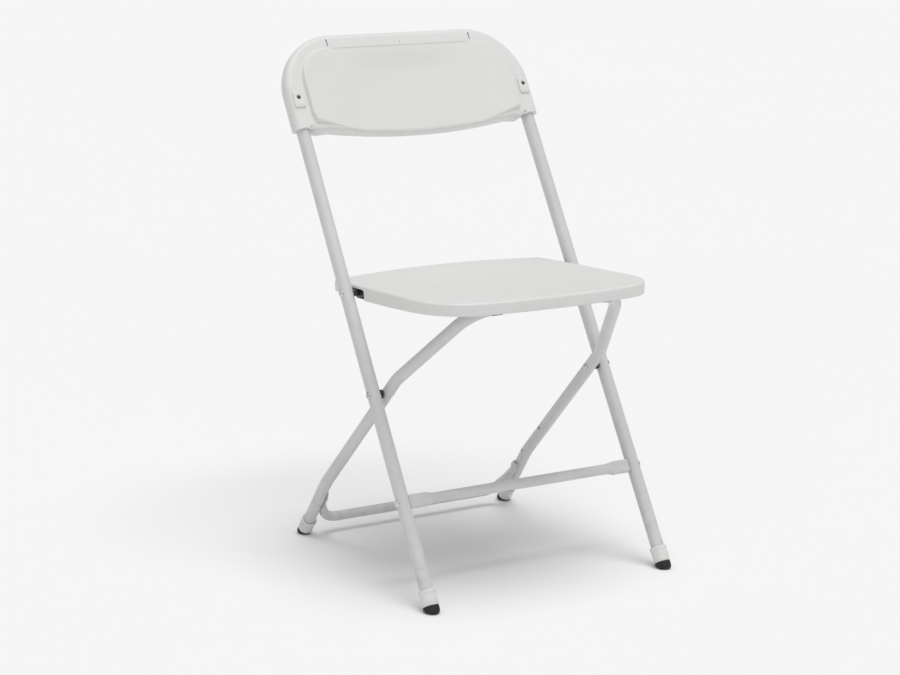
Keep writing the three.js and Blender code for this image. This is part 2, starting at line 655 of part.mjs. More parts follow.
function seatOutline(inset) {
  const half = SEAT_HALF - inset;
  const halfRear = SEAT_HALF_REAR - inset;
  const front = SEAT_FRONT + inset;
  const cornerY = front + SEAT_FRONT_BOW + SEAT_CORNER_R - inset;
  const radius = SEAT_CORNER_R - inset;
  const rearR = SEAT_REAR_R - Math.min(inset, 8);
  const shape = new THREE.Shape();
  shape.moveTo(-half + radius, front + SEAT_FRONT_BOW);
  shape.quadraticCurveTo(0, front - SEAT_FRONT_BOW, half - radius, front + SEAT_FRONT_BOW);
  shape.absarc(half - radius, cornerY, radius, -Math.PI / 2, 0, false);
  shape.lineTo(halfRear, SEAT_REAR - rearR);
  shape.absarc(halfRear - rearR, SEAT_REAR - rearR, rearR, 0, REAR_CORNER_TURN, false);
  shape.quadraticCurveTo(
    halfRear * 0.5, SEAT_REAR + SEAT_REAR_ARCH - inset, 0, SEAT_REAR + SEAT_REAR_ARCH - inset,
  );
  shape.quadraticCurveTo(
    -halfRear * 0.5, SEAT_REAR + SEAT_REAR_ARCH - inset,
    -halfRear + rearR - rearR * Math.cos(REAR_CORNER_TURN),
    SEAT_REAR - rearR + rearR * Math.sin(REAR_CORNER_TURN),
  );
  shape.absarc(
    -halfRear + rearR, SEAT_REAR - rearR, rearR, Math.PI - REAR_CORNER_TURN, Math.PI, false,
  );
  shape.lineTo(-half, cornerY);
  shape.absarc(-half + radius, cornerY, radius, Math.PI, 1.5 * Math.PI, false);
  shape.closePath();
  return shape;
}

const DISH_HALF_LENGTH = 158;
const DISH_SIDE = 10;                  // flat rim left at each side of the bowl

function dish(lowered) {
  // a shallow bowl of air pressed into the seat, deepest behind the middle
  const rings = 5;
  const profile = [[0, -SEAT_DISH]];
  for (let i = 1; i <= rings; i += 1) {
    const r = i / rings;
    profile.push([r, -SEAT_DISH * (1 - r * r) ** 1.6]);
  }
  profile.push([1, 30], [0, 30]);
  return turned(profile, 'z', [0, 0, 0], 36)
    .scale([SEAT_HALF - DISH_SIDE, DISH_HALF_LENGTH, 1])
    .translate([0, SEAT_DISH_Y, SEAT_TOP - lowered]);
}

const POCKET_FROM = -32;               // opening in each side of the skirt for the hinge
const POCKET_TO = 14;
const POCKET_TOP = 6.6;
const HINGE_TOP = 7.6;                 // the hinge's flange hangs under two bosses
const HINGE_SCREWS_Y = [-24, 24];
const HINGE_SCREW_X = 182;
const SADDLE_X = [-98, 0, 98];
const saddleNames = ['left', 'middle', 'right'];
const crossTube = seat.worldToLocal(rearLegs.localToWorld(vec(0, CROSS_TUBE_DROP, CROSS_TUBE_UP)));
const SADDLE_SCREW_Y = crossTube.y + 22;
const SADDLE_TOP = 6.9;                // under the seat panel
const SADDLE_LIP = -11.4;              // the front lip shows below the skirt

const SADDLE_TAIL = 2.4;               // thickness of the tongue behind each saddle

const RIBS_X = [-110, 0, 110];
const RIBS_Y = [-180, -100, -20];
const RIB_BOTTOM = 1.2;
const RIB_HALF = 1;
const SCREW_HEAD_R = 3.2;
const SCREW_SHANK = 4.2;
const BOSS_R = 5;
const BOSS_INTO = 1.2;                 // bosses and their holes end inside the seat panel
const HOLE_INTO = 1.9;
const HINGE_ROOM = 38;                 // kept clear of ribs before and behind each pivot
const HINGE_ROOM_IN = 170;

const screwPlaces = [
  ...sides.flatMap(([, side]) => HINGE_SCREWS_Y.map((y) => [side * HINGE_SCREW_X, y, HINGE_TOP])),
  ...SADDLE_X.map((x) => [x, SADDLE_SCREW_Y, SADDLE_TOP]),
];

function seatShell() {
  const deep = SKIRT_BOTTOM - 10;
  const outer = flat(seatOutline(0), SKIRT_BOTTOM - 6, SEAT_TOP, 3.6);
  const skirtInside = flat(seatOutline(SEAT_WALL), deep, SEAT_TOP - SEAT_WALL, 1.6);
  const inside = minus(skirtInside, dish(SEAT_WALL));
  // the skirt's lower edge drops gently towards the hinges
  const under = sideways([
    [-BEYOND, SEAT_BOTTOM], [-205, SEAT_BOTTOM], [-165, -8.6], [-125, -9.5], [-60, SKIRT_BOTTOM],
    [30, SKIRT_BOTTOM], [50, SEAT_BOTTOM], [BEYOND, SEAT_BOTTOM], [BEYOND, -BEYOND], [-BEYOND, -BEYOND],
  ], -BEYOND, BEYOND);
  const ribs = union(
    ...RIBS_X.map((x) => box(x - RIB_HALF, x + RIB_HALF, -205, 62, RIB_BOTTOM, 20)),
    ...RIBS_Y.map((y) => box(-193, 193, y - RIB_HALF, y + RIB_HALF, RIB_BOTTOM, 20)),
  );
  const hingeRoom = union(...sides.map(([, side]) =>
    sideBox(side, HINGE_ROOM_IN, 200, -HINGE_ROOM, HINGE_ROOM, deep, HINGE_TOP + GAP)));
  const bosses = union(...screwPlaces.map(([x, y, bearing]) =>
    rod(BOSS_R, bearing + GAP, SEAT_TOP - BOSS_INTO, 'z', [x, y, 0], 16)));
  const screwHoles = union(...screwPlaces.map(([x, y]) =>
    rod(SCREW_R + GAP, deep, SEAT_TOP - HOLE_INTO, 'z', [x, y, 0], 12)));
  const pockets = union(...sides.map(([, side]) =>
    sideBox(side, 190, 210, POCKET_FROM, POCKET_TO, deep, POCKET_TOP)));
  const shell = minus(outer, dish(0), inside, under);
  const middle = SEAT_WALL / 2;
  const reach = minus(flat(seatOutline(middle), deep, SEAT_TOP - middle, 1.6), dish(middle));
  const stiffening = minus(union(ribs, bosses).intersect(reach), hingeRoom.subtract(bosses));
  return minus(union(shell, stiffening), pockets, screwHoles);
}

piece(seat, 'seat_shell', seatShell(), finish.plastic);

// ---- seat hinges: an angle of sheet steel under each side, hanging on the pivot rivet --------
const HINGE_FROM = -30;
const HINGE_TO = 30;
const CHEEK_DROP = 9;                  // the cheek hangs this far below the pivot
const FLANGE_IN = HINGE_SCREW_X - 8;
const SPACER_R = 6;
for (const [word, side] of sides) {
  const inside = HINGE_PLATE_OUT - HINGE_PLATE;
  const cheek = sideways([
    [HINGE_FROM, HINGE_TOP], [HINGE_FROM, -CHEEK_DROP], [0, -CHEEK_DROP],
    [0.7 * CHEEK_DROP, -0.7 * CHEEK_DROP], [HINGE_TO, 0], [HINGE_TO, HINGE_TOP],
  ], Math.min(side * HINGE_PLATE_OUT, side * inside), Math.max(side * HINGE_PLATE_OUT, side * inside));
  const flange = sideBox(
    side, FLANGE_IN, HINGE_PLATE_OUT, HINGE_FROM, HINGE_TO, HINGE_TOP - HINGE_PLATE, HINGE_TOP,
  );
  const hinge = minus(
    union(cheek, flange),
    acrossHole(RIVET_HOLE_R, 0, 0),
    ...HINGE_SCREWS_Y.map((y) => rod(SCREW_R + GAP, -20, 20, 'z', [side * HINGE_SCREW_X, y, 0], 12)),
  );
  piece(seat, `seat_hinge_${word}`, hinge, finish.darkSteel);

  const from = HINGE_PLATE_OUT + GAP;
  const to = frontHalf(SEAT_PIVOT_UP) - FRONT_FLAT - GAP;
  piece(seat, `seat_pivot_spacer_${word}`, washer(side, SPACER_R, from, to), finish.darkPlastic);
}

// ---- saddles under the front of the seat, open below, that rest on the cross tube -----------
const SADDLE_HALF = 9;
const SADDLE_FRONT = 13.5;             // from the cross tube's axis to each face of the block
const SADDLE_REAR = 13;
const TAIL_HALF = 7;
const TAIL_FROM = 8;
const TAIL_TO = 28;
const REAR_LIFT = 3.5;                 // the rear lip ends this far above the tube's axis
const saddleChannel = (() => {
  const matrix = seat.matrixWorld.clone().invert().multiply(rearLegs.matrixWorld);
  return sweep(circle(REAR_R + GAP, 24), rearPath).transform(matrix.elements);
})();
SADDLE_X.forEach((x, i) => {
  const { y, z } = crossTube;
  const block = box(
    x - SADDLE_HALF, x + SADDLE_HALF, y - SADDLE_FRONT, y + SADDLE_REAR, SADDLE_LIP, SADDLE_TOP,
  );
  const tail = box(
    x - TAIL_HALF, x + TAIL_HALF, y + TAIL_FROM, y + TAIL_TO, SADDLE_TOP - SADDLE_TAIL, SADDLE_TOP,
  );
  const opening = box(x - 20, x + 20, y - REAR_R - GAP, y + 20, -60, z);
  const rearRelief = box(x - 20, x + 20, y, y + 20, -60, z + REAR_LIFT);
  const saddle = minus(union(block, tail), saddleChannel, opening, rearRelief,
    rod(SCREW_R + GAP, -20, 20, 'z', [x, SADDLE_SCREW_Y, 0], 12));
  piece(seat, `seat_saddle_${saddleNames[i]}`, saddle, finish.darkPlastic);
});

// ---- screws up into the seat -----------------------------------------------------------------
function panScrew(name, x, y, bearing) {
  const profile = [
    [0, -2.1], [2.2, -2], [SCREW_HEAD_R, -1.1], [SCREW_HEAD_R, -GAP], [SCREW_R, -GAP],
    [SCREW_R, SCREW_SHANK], [0, SCREW_SHANK],
  ];
  const mesh = piece(seat, name, turned(profile, 'z', [0, 0, 0], 14), finish.darkSteel);
  mesh.position.set(x, y, bearing);
}

for (const [word, side] of sides) {
  const x = side * HINGE_SCREW_X;
  const [front, rear] = HINGE_SCREWS_Y;
  panScrew(`seat_hinge_screw_front_${word}`, x, front, HINGE_TOP - HINGE_PLATE);
  panScrew(`seat_hinge_screw_rear_${word}`, x, rear, HINGE_TOP - HINGE_PLATE);
}
SADDLE_X.forEach((x, i) => {
  panScrew(`seat_saddle_screw_${saddleNames[i]}`, x, SADDLE_SCREW_Y, SADDLE_TOP - SADDLE_TAIL);
});

export default chair;
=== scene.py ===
"""A folding chair: a bent steel tube frame with a moulded plastic seat and backrest.

Metres, +Z up. The chair faces -Y, stands on Z = 0 and is symmetric about X = 0.
Each part is worked out in the axes of the body that it rides on and then turned into place:
the front frame's axes are X, Y to the rear of its lean and Z up the leg; the rear legs' are X,
Y and Z from the cross pivot; the seat's are X, Y to the rear and Z up from the seat pivot.
"""

import json
import math

import bmesh
import bpy
import numpy as np
from mathutils import Matrix, Vector


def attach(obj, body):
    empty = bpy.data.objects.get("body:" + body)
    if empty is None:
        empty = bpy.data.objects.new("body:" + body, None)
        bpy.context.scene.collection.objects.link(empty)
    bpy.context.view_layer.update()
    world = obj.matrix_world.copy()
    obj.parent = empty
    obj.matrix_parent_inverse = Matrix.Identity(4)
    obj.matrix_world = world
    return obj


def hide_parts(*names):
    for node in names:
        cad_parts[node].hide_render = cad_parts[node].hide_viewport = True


bl_info = {
    "name": "Folding Chair",
    "version": (1, 0, 0),
    "blender": (4, 5, 0),
    "location": "View3D > Sidebar > Chair",
    "description": "Builds a steel and plastic folding chair, piece by piece",
    "category": "Add Mesh",
}

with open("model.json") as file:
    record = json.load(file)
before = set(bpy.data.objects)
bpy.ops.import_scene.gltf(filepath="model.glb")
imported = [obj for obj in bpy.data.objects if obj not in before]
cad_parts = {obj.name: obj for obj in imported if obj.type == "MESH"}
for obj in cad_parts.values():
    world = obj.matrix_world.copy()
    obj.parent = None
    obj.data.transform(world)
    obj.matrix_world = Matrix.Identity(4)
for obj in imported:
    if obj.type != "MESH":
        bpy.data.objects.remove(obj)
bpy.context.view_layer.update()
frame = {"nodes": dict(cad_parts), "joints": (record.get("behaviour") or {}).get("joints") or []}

# ---- the bodies' axes, from the joints ---------------------------------------------------------
PIVOTS = {joint["name"]: np.array(joint["pos_m"]) for joint in frame["joints"]}
CROSS_PIVOT = PIVOTS["leg_fold"]
SEAT_PIVOT = PIVOTS["seat_fold"]
LEAN = math.atan2(SEAT_PIVOT[1] - CROSS_PIVOT[1], SEAT_PIVOT[2] - CROSS_PIVOT[2])
FRONT_FOOT_Y = CROSS_PIVOT[1] - CROSS_PIVOT[2] * math.tan(LEAN)
CROSS_PIVOT_UP = CROSS_PIVOT[2] / math.cos(LEAN)
SEAT_PIVOT_UP = SEAT_PIVOT[2] / math.cos(LEAN)
REAR_TILT = math.radians(44.95)
SEAT_SLOPE = math.radians(3.06)

# ---- fixed sizes, in metres --------------------------------------------------------------------
GAP = 0.0003
FRONT_HALF_FOOT = 0.212
FRONT_HALF_TOP = 0.2085
FRAME_TOP = 0.928
BOW_R = 0.086
FRONT_TUBE_START = 0.018
CROSSBAR_UP = 0.172
PADDLE_LENGTH = 0.026
PADDLE_EASE = 0.017
REAR_HALF_FOOT = 0.194
REAR_HALF_BEND = 0.1865
REAR_BEND_UP = 0.0389
CROSS_TUBE_UP = 0.217
CROSS_TUBE_HALF = 0.1295
CROSS_TUBE_DROP = -0.0024
KNEE_DOWN = 0.2671
KNEE_R = 0.150
TOP_BEND_R = 0.060
LOOP_R = 0.057
REAR_FOOT_DOWN = 0.394
REAR_FOOT_OFFSET = -0.0201
REAR_TUBE_CUT = 0.018
BRACE_BEND_R = 0.034
BRACE_END_DOWN = 0.028
BRACE_RUN_DOWN = 0.097
BRACE_FLAT = 0.012
BRACE_FLAT_EASE = 0.040
BRACE_PRESSED = 0.22
BRACE_NARROWED = -0.16
HINGE_PLATE_OUT = 0.1912
BACK_SCREW_X = 0.209
BACK_SCREW_UP = 0.835
WELDS_DOWN = (BRACE_END_DOWN + 0.010, BRACE_END_DOWN + 0.034)
WELD_OUT = 0.0062
SIDES = (("left", -1), ("right", 1))

# ---- how finely things are drawn ---------------------------------------------------------------
TUBE_SIDES = 40
STATION = 0.010
BEND_STEPS = 22


# ---- user's sizes and colours ------------------------------------------------------------------
def length(name, description, default):
    """A size in metres."""
    return bpy.props.FloatProperty(
        name=name, description=description, default=default, min=0, precision=4, unit="LENGTH"
    )


def colour(name, description, default):
    """A scene-linear colour."""
    return bpy.props.FloatVectorProperty(
        name=name, description=description, default=default, min=0, max=1, subtype="COLOR", size=3
    )


class ChairSizes(bpy.types.PropertyGroup):
    """Sizes that a user would change."""

    front_tube: length("Front tube radius", "Radius of the front frame's tube", 0.0105)
    front_flat: length("Front tube flat", "Distance from its axis to the flattened sides", 0.0096)
    rear_tube: length("Rear tube radius", "Radius of the rear legs' tube", 0.0095)
    brace_tube: length("Brace radius", "Radius of the rear cross brace", 0.0080)
    crossbar: length("Crossbar radius", "Radius of the front crossbar's round middle", 0.0082)
    paddle_height: length("Paddle half height", "Half height of the crossbar's flat ends", 0.0105)
    paddle_thickness: length("Paddle half thickness", "Half thickness of the flat ends", 0.0054)
    tube_wall: length("Tube wall", "Wall of every steel tube", 0.0013)
    seat_half: length("Seat half width", "Half width of the seat at its front", 0.197)
    seat_half_rear: length("Seat half width, rear", "Half width of the seat at its rear", 0.1945)
    seat_front: length("Seat front", "From the seat pivot to the front edge", 0.2812)
    seat_rear: length("Seat rear", "From the seat pivot to the rear corners", 0.072)
    seat_top: length("Seat rim height", "Rim height above the seat pivot", 0.0122)
    seat_skirt: length("Seat skirt", "How far the skirt reaches below the pivot", 0.0068)
    seat_wall: length("Seat wall", "Thickness of the seat panel", 0.0028)
    seat_dish: length("Seat dish", "Depth of the seat's bowl", 0.0052)
    seat_lip: length("Seat lip", "How far the rear edge rises", 0.0045)
    back_half: length("Backrest half width", "Half width of the backrest", 0.224)
    back_top: length("Backrest top", "Top of the backrest, measured up the leg", 0.942)
    back_bottom: length("Backrest bottom", "Lower end of the sleeves, up the leg", 0.783)
    back_thick: length("Backrest half thickness", "From the tube axis to each face", 0.014)
    pad_front: length("Pad edge", "How far the pad's side edges stand forward", 0.021)
    pad_hollow: length("Pad hollow", "How far the pad's middle lies behind its edges", 0.013)
    cap_over: length("Foot cap wall", "How far a foot cap stands out from its tube", 0.0023)


class ChairColours(bpy.types.PropertyGroup):
    """Colours that a user would change."""

    paint: colour("Paint", "Light grey paint on the tubes", (0.665, 0.674, 0.668))
    plastic: colour("Plastic", "Off-white plastic of the seat and backrest", (0.765, 0.764, 0.757))
    cap: colour("Foot cap", "White plastic of the foot caps", (0.770, 0.772, 0.760))
    steel: colour("Bright steel", "Plated steel of the rivets", (0.800, 0.800, 0.790))
    dark_steel: colour("Dark steel", "Steel of the hinges and screws", (0.150, 0.150, 0.155))
    dark_plastic: colour("Dark plastic", "Washers and spacers", (0.040, 0.041, 0.043))
    saddle: colour("Saddle", "Grey plastic of the saddles", (0.270, 0.270, 0.265))
    rubber: colour("Rubber", "Foot pads", (0.012, 0.012, 0.012))
    primer: colour("Bare patch", "What a chip in the paint lays bare", (0.060, 0.055, 0.050))
    grime: colour("Grime", "Dirt on the lower parts", (0.340, 0.320, 0.280))
    floor: colour("Floor", "Plain pale floor", (0.900, 0.903, 0.903))


def sizes():
    """The user's sizes."""
    return bpy.context.scene.chair_sizes


def colours():
    """The user's colours."""
    return bpy.context.scene.chair_colours


# ---- curves and surfaces -----------------------------------------------------------------------
class Axes:
    """A body's axes: a point is turned about X by the tilt and then moved to the origin."""

    def __init__(self, origin, tilt):
        c, s = math.cos(tilt), math.sin(tilt)
        self.origin = np.array(origin, float)
        self.turn = np.array([[1, 0, 0], [0, c, -s], [0, s, c]])

    def place(self, points):
        """Local points in the chair's frame."""
        return np.asarray(points, float) @ self.turn.T + self.origin

    def direction(self, vector):
        """A local direction in the chair's frame."""
        return np.asarray(vector, float) @ self.turn.T


FRONT = Axes((0, FRONT_FOOT_Y, 0), -LEAN)
REAR = Axes(CROSS_PIVOT, REAR_TILT)
SEAT = Axes(SEAT_PIVOT, -SEAT_SLOPE)


def unit(vector):
    """Vectors divided by their lengths."""
    vector = np.asarray(vector, float)
    return vector / np.linalg.norm(vector, axis=-1, keepdims=True)


def ease(t):
    """Smooth step: 3 t squared less 2 t cubed, with t held between 0 and 1."""
    t = np.clip(t, 0, 1)
    return t * t * (3 - 2 * t)


def bell(distance, width):
    """A bell curve: e to the minus square of distance over width."""
    return np.exp(-np.square(distance / width))


def bezier(corners, t):
    """A Bezier curve of any degree: corners mixed by Bernstein weights C(n,k) t^k (1-t)^(n-k)."""
    corners = np.asarray(corners, float)
    n = len(corners) - 1
    t = np.asarray(t, float)[:, None]
    return sum(math.comb(n, k) * t**k * (1 - t) ** (n - k) * corner for k, corner in enumerate(corners))


def arc(centre, radius, start, end, count):
    """Points of a circle from one angle to just before another."""
    angle = np.linspace(start, end, count, endpoint=False)
    return np.asarray(centre) + radius * np.stack([np.cos(angle), np.sin(angle)], -1)


def line(start, end, count):
    """Equal steps from one point to just before another."""
    return np.linspace(start, end, count, endpoint=False)


def both_halves(half):
    """A closed outline from its right half, which runs from X = 0 round to X = 0."""
    left = half[-2:0:-1] * (-1, 1)
    return np.concatenate([half, left])


def superellipse(half_width, half_height, power, count):
    """A rounded rectangle: |cos|^(2/power) and |sin|^(2/power), signed and scaled by the halves."""
    angle = np.linspace(0, 2 * np.pi, count, endpoint=False)
    c, s = np.cos(angle), np.sin(angle)
    across = np.sign(c) * np.abs(c) ** (2 / power) * half_width
    up = np.sign(s) * np.abs(s) ** (2 / power) * half_height
    return np.stack([across, up], -1)


def bent_path(corners, radii):
    """Centre line of a bent tube, with its directions.

    Straight runs are joined by round bends. On a bend a point is its start, plus radius times
    sin(a) along the incoming run and radius times (1 - cos(a)) towards the outgoing one.
    """
    corners = np.asarray(corners, float)
    points, tangents = [], []

    def run(start, end):
        count = max(2, round(np.linalg.norm(end - start) / STATION))
        points.append(np.linspace(start, end, count))
        tangents.append(np.repeat([unit(end - start)], count, axis=0))

    start = corners[0]
    for before, corner, after, radius in zip(corners, corners[1:], corners[2:], radii):
        incoming, outgoing = unit(corner - before), unit(after - corner)
        turn = math.acos(incoming @ outgoing)
        bend = corner - incoming * radius * math.tan(turn / 2)
        run(start, bend)
        side = unit(outgoing - incoming * (incoming @ outgoing))
        angle = np.linspace(0, turn, BEND_STEPS)[:, None]
        points.append(bend + radius * (np.sin(angle) * incoming + (1 - np.cos(angle)) * side))
        tangents.append(np.cos(angle) * incoming + np.sin(angle) * side)
        start = points[-1][-1]
    run(start, corners[-1])
    points, tangents = np.concatenate(points), np.concatenate(tangents)
    apart = np.linalg.norm(np.diff(points, axis=0), axis=1) > 1e-6
    keep = np.concatenate([[True], apart])
    return points[keep], tangents[keep]


def mirrored(corners):
    """Corners of the left side followed by their mirror images in reverse."""
    corners = [np.array(corner, float) for corner in corners]
    return corners + [corner * (-1, 1, 1) for corner in reversed(corners)]


def tube_section(radius, flat):
    """Section of a tube with two flattened sides.

    The radius at angle a is the smooth minimum of the round radius and flat / |sin a|.
    """
    sharpness = 40
    angle = np.linspace(0, 2 * np.pi, TUBE_SIDES, endpoint=False)
    to_flat = flat / np.maximum(np.abs(np.sin(angle)), 1e-3)
    r = (radius**-sharpness + to_flat**-sharpness) ** (-1 / sharpness)
    return np.stack([r * np.cos(angle), r * np.sin(angle)], -1)


class Grid:
    """A surface on rows and columns of points, with the texture coordinates of each point."""

    def __init__(self, points, coat=None, rows_close=False, columns_close=True):
        self.points = np.asarray(points, float)
        self.coat = self.points if coat is None else coat
        self.rows_close = rows_close
        self.columns_close = columns_close

    def placed(self, axes):
        """The same surface in the chair's frame."""
        return Grid(axes.place(self.points), self.coat, self.rows_close, self.columns_close)

    def faces(self, first):
        """Quads between neighbouring rows and columns, counted from a first point."""
        rows, columns = self.points.shape[:2]
        i, j = np.meshgrid(
            np.arange(rows - (not self.rows_close)),
            np.arange(columns - (not self.columns_close)),
            indexing="ij",
        )
        below, beside = (i + 1) % rows, (j + 1) % columns
        corners = [i * columns + j, i * columns + beside, below * columns + beside, below * columns + j]
        return np.stack(corners, -1).reshape(-1, 4) + first


def tube(path, section, wall, bore=0.012):
    """A tube with open ends: its section carried along a path.

    Each ring is the path's point plus the section's first coordinate along local Y, squared to
    the path, and its second across both. At each end the rings turn over the wall's edge and run
    down the bore to a pole. The texture coordinates are the section's own and the length so far.
    """
    points, tangents = path
    shrink = 1 - wall / np.linalg.norm(section, axis=1).mean()
    edge = 0.0003
    ends = ((points[0], tangents[0]), (points[-1], -tangents[-1]))
    caps = [
        (end + inward * np.array([[bore], [bore], [edge], [0], [edge]]), np.repeat([inward], 5, 0))
        for end, inward in ends
    ]
    scales = [0, shrink, shrink, (1 + shrink) / 2, 1]
    line_points = np.concatenate([caps[0][0], points[1:-1], caps[1][0][::-1]])
    line_tangents = np.concatenate([caps[0][1], tangents[1:-1], -caps[1][1]])
    scale = np.concatenate([scales, np.ones(len(points) - 2), scales[::-1]])[:, None, None]
    up = np.array([0.0, 1.0, 0.0])
    first = unit(up - (line_tangents @ up)[:, None] * line_tangents)
    second = np.cross(line_tangents, first)
    sized = section * scale
    rings = line_points[:, None] + sized[..., :1] * first[:, None] + sized[..., 1:] * second[:, None]
    steps = np.linalg.norm(np.diff(line_points, axis=0), axis=1)
    along = np.concatenate([[0], np.cumsum(steps)])
    coat = np.concatenate([sized, np.broadcast_to(along[:, None, None], sized.shape[:2] + (1,))], -1)
    return Grid(rings, coat)


def turned(profile, origin, direction, segments=36):
    """A profile of (radius, height) turned about a line: origin + height d + radius (cos u + sin v)."""
    profile = np.asarray(profile, float)
    direction = unit(direction)
    helper = np.array([0.0, 0.0, 1.0]) if abs(direction[2]) < 0.9 else np.array([0.0, 1.0, 0.0])
    u = unit(np.cross(direction, helper))
    v = np.cross(direction, u)
    angle = np.linspace(0, 2 * np.pi, segments, endpoint=False)[:, None]
    around = np.cos(angle) * u + np.sin(angle) * v
    rings = profile[:, 0, None, None] * around + profile[:, 1, None, None] * direction
    turned_coat = np.stack(
        [
            profile[:, :1] * np.cos(angle[:, 0]),
            profile[:, :1] * np.sin(angle[:, 0]),
            np.repeat(profile[:, 1:], segments, axis=1),
        ],
        -1,
    )
    return Grid(rings + np.asarray(origin, float), turned_coat)


def press(grid, centre, axis, depth, width):
    """Dents a surface: points move against their side of the axis by depth times a bell curve."""
    away = grid.points - centre
    sideways = away @ axis
    apart = np.linalg.norm(away - sideways[..., None] * axis, axis=-1)
    near = np.abs(sideways) < 0.03
    shift = depth * bell(apart, width) * np.sign(sideways) * near
    grid.points = grid.points - shift[..., None] * axis
    return grid


# ---- meshes ------------------------------------------------------------------------------------
def closed_mesh(name, grids):
    """One mesh of closed surfaces, with poles welded and faces turned outwards."""
    points, faces, coats, count = [], [], [], 0
    for grid in grids:
        faces.append(grid.faces(count))
        points.append(grid.points.reshape(-1, 3))
        coats.append(grid.coat.reshape(-1, 3))
        count += len(points[-1])
    mesh = bpy.data.meshes.new(name)
    mesh.from_pydata(np.concatenate(points), [], np.concatenate(faces).tolist())
    coat = mesh.attributes.new("coat", "FLOAT_VECTOR", "POINT")
    coat.data.foreach_set("vector", np.concatenate(coats).astype(np.float32).ravel())
    work = bmesh.new()
    work.from_mesh(mesh)
    bmesh.ops.remove_doubles(work, verts=work.verts, dist=1e-6)
    bmesh.ops.dissolve_degenerate(work, edges=work.edges, dist=1e-6)
    bmesh.ops.recalc_face_normals(work, faces=work.faces)
    work.to_mesh(mesh)
    work.free()
    return mesh


def cut(obj, cutters):
    """Takes closed surfaces out of a piece, and leaves it with no modifier."""
    tool = bpy.data.objects.new(obj.name + "_cutter", closed_mesh("cutter", cutters))
    bpy.context.scene.collection.objects.link(tool)
    modifier = obj.modifiers.new("Cut", "BOOLEAN")
    modifier.operation = "DIFFERENCE"
    modifier.solver = "MANIFOLD"
    modifier.object = tool
    result = bpy.data.meshes.new_from_object(obj.evaluated_get(bpy.context.evaluated_depsgraph_get()))
    if len(result.polygons) == 0:
        raise RuntimeError(f"cutting {obj.name} left nothing")
    obj.modifiers.clear()
    obj.data = result
    bpy.data.objects.remove(tool)


def piece(name, grids, body, material, stands_for=(), crease=34, cutters=()):
    """A finished piece: closed surfaces, cut, shaded smooth between sharp edges, riding a body."""
    obj = bpy.data.objects.new(name, closed_mesh(name, grids))
    bpy.context.scene.collection.objects.link(obj)
    if cutters:
        cut(obj, cutters)
    obj.data.name = name
    obj.data.materials.clear()
    obj.data.materials.append(material)
    obj.data.shade_smooth()
    obj.data.set_sharp_from_angle(angle=math.radians(crease))
    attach(obj, body)
    if stands_for:
        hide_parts(*stands_for)
    return obj


# ---- shader groups -----------------------------------------------------------------------------
def node(tree, kind, inputs=None, **settings):
    """A node with its settings; each input is a value or the socket that feeds it."""
    made = tree.nodes.new(kind)
    for key, value in settings.items():
        setattr(made, key, value)
    for key, value in (inputs or {}).items():
        if isinstance(value, bpy.types.NodeSocket):
            tree.links.new(value, made.inputs[key])
        else:
            made.inputs[key].default_value = value
    return made


def maths(tree, operation, a, b=0.0, clamp=False):
    """The output of a Math node."""
    return node(tree, "ShaderNodeMath", {0: a, 1: b}, operation=operation, use_clamp=clamp).outputs[0]


def spread(tree, value, low, high, to_low=0.0, to_high=1.0):
    """A value's range from low to high, eased and carried to another range."""
    settings = {"interpolation_type": "SMOOTHSTEP", "clamp": True}
    sockets = {"Value": value, "From Min": low, "From Max": high, "To Min": to_low, "To Max": to_high}
    return node(tree, "ShaderNodeMapRange", sockets, **settings).outputs["Result"]


def mixed(tree, factor, first, second):
    """The colour between two, by a factor."""
    made = node(tree, "ShaderNodeMix", {"Factor": factor}, data_type="RGBA")
    for name, value in (("A", first), ("B", second)):
        socket = next(s for s in made.inputs if s.name == name and s.type == "RGBA")
        if isinstance(value, bpy.types.NodeSocket):
            tree.links.new(value, socket)
        else:
            socket.default_value = (*value, 1)
    return next(s for s in made.outputs if s.type == "RGBA")


def noise(tree, vector, scale, detail=3.0, rough=0.5, warp=0.0):
    """The value of a noise texture."""
    sockets = {"Vector": vector, "Scale": scale, "Detail": detail, "Roughness": rough, "Distortion": warp}
    return node(tree, "ShaderNodeTexNoise", sockets).outputs["Fac"]


def shader_group(name, inputs, outputs, fill):
    """A node group, built once: fill(tree, sockets) returns the socket for each output."""
    if name in bpy.data.node_groups:
        return bpy.data.node_groups[name]
    tree = bpy.data.node_groups.new(name, "ShaderNodeTree")
    for label, kind in inputs:
        tree.interface.new_socket(label, in_out="INPUT", socket_type=kind)
    for label, kind in outputs:
        tree.interface.new_socket(label, in_out="OUTPUT", socket_type=kind)
    enter = tree.nodes.new("NodeGroupInput")
    leave = tree.nodes.new("NodeGroupOutput")
    for (label, _kind), socket in zip(outputs, fill(tree, enter.outputs)):
        tree.links.new(socket, leave.inputs[label])
    return tree


def use_group(tree, group, inputs):
    """A group placed in a material with its own values."""
    made = tree.nodes.new("ShaderNodeGroup")
    made.node_tree = group
    for key, value in inputs.items():
        if isinstance(value, bpy.types.NodeSocket):
            tree.links.new(value, made.inputs[key])
        else:
            made.inputs[key].default_value = value
    return made.outputs


VECTOR = "NodeSocketVector"
VALUE = "NodeSocketFloat"


def tint_group():
    """Slow blotches and fine mottling: two noises added about zero."""

    def fill(tree, given):
        slow = noise(tree, given["Vector"], given["Scale"], 3.0, 0.55)
        finer = maths(tree, "MULTIPLY", given["Scale"], 9.0)
        fine = noise(tree, given["Vector"], finer, 4.0, 0.6)
        both = maths(tree, "ADD", maths(tree, "MULTIPLY", slow, 0.7), maths(tree, "MULTIPLY", fine, 0.3))
        return [spread(tree, both, 0.34, 0.66)]

    return shader_group("Tint", [("Vector", VECTOR), ("Scale", VALUE)], [("Mask", VALUE)], fill)


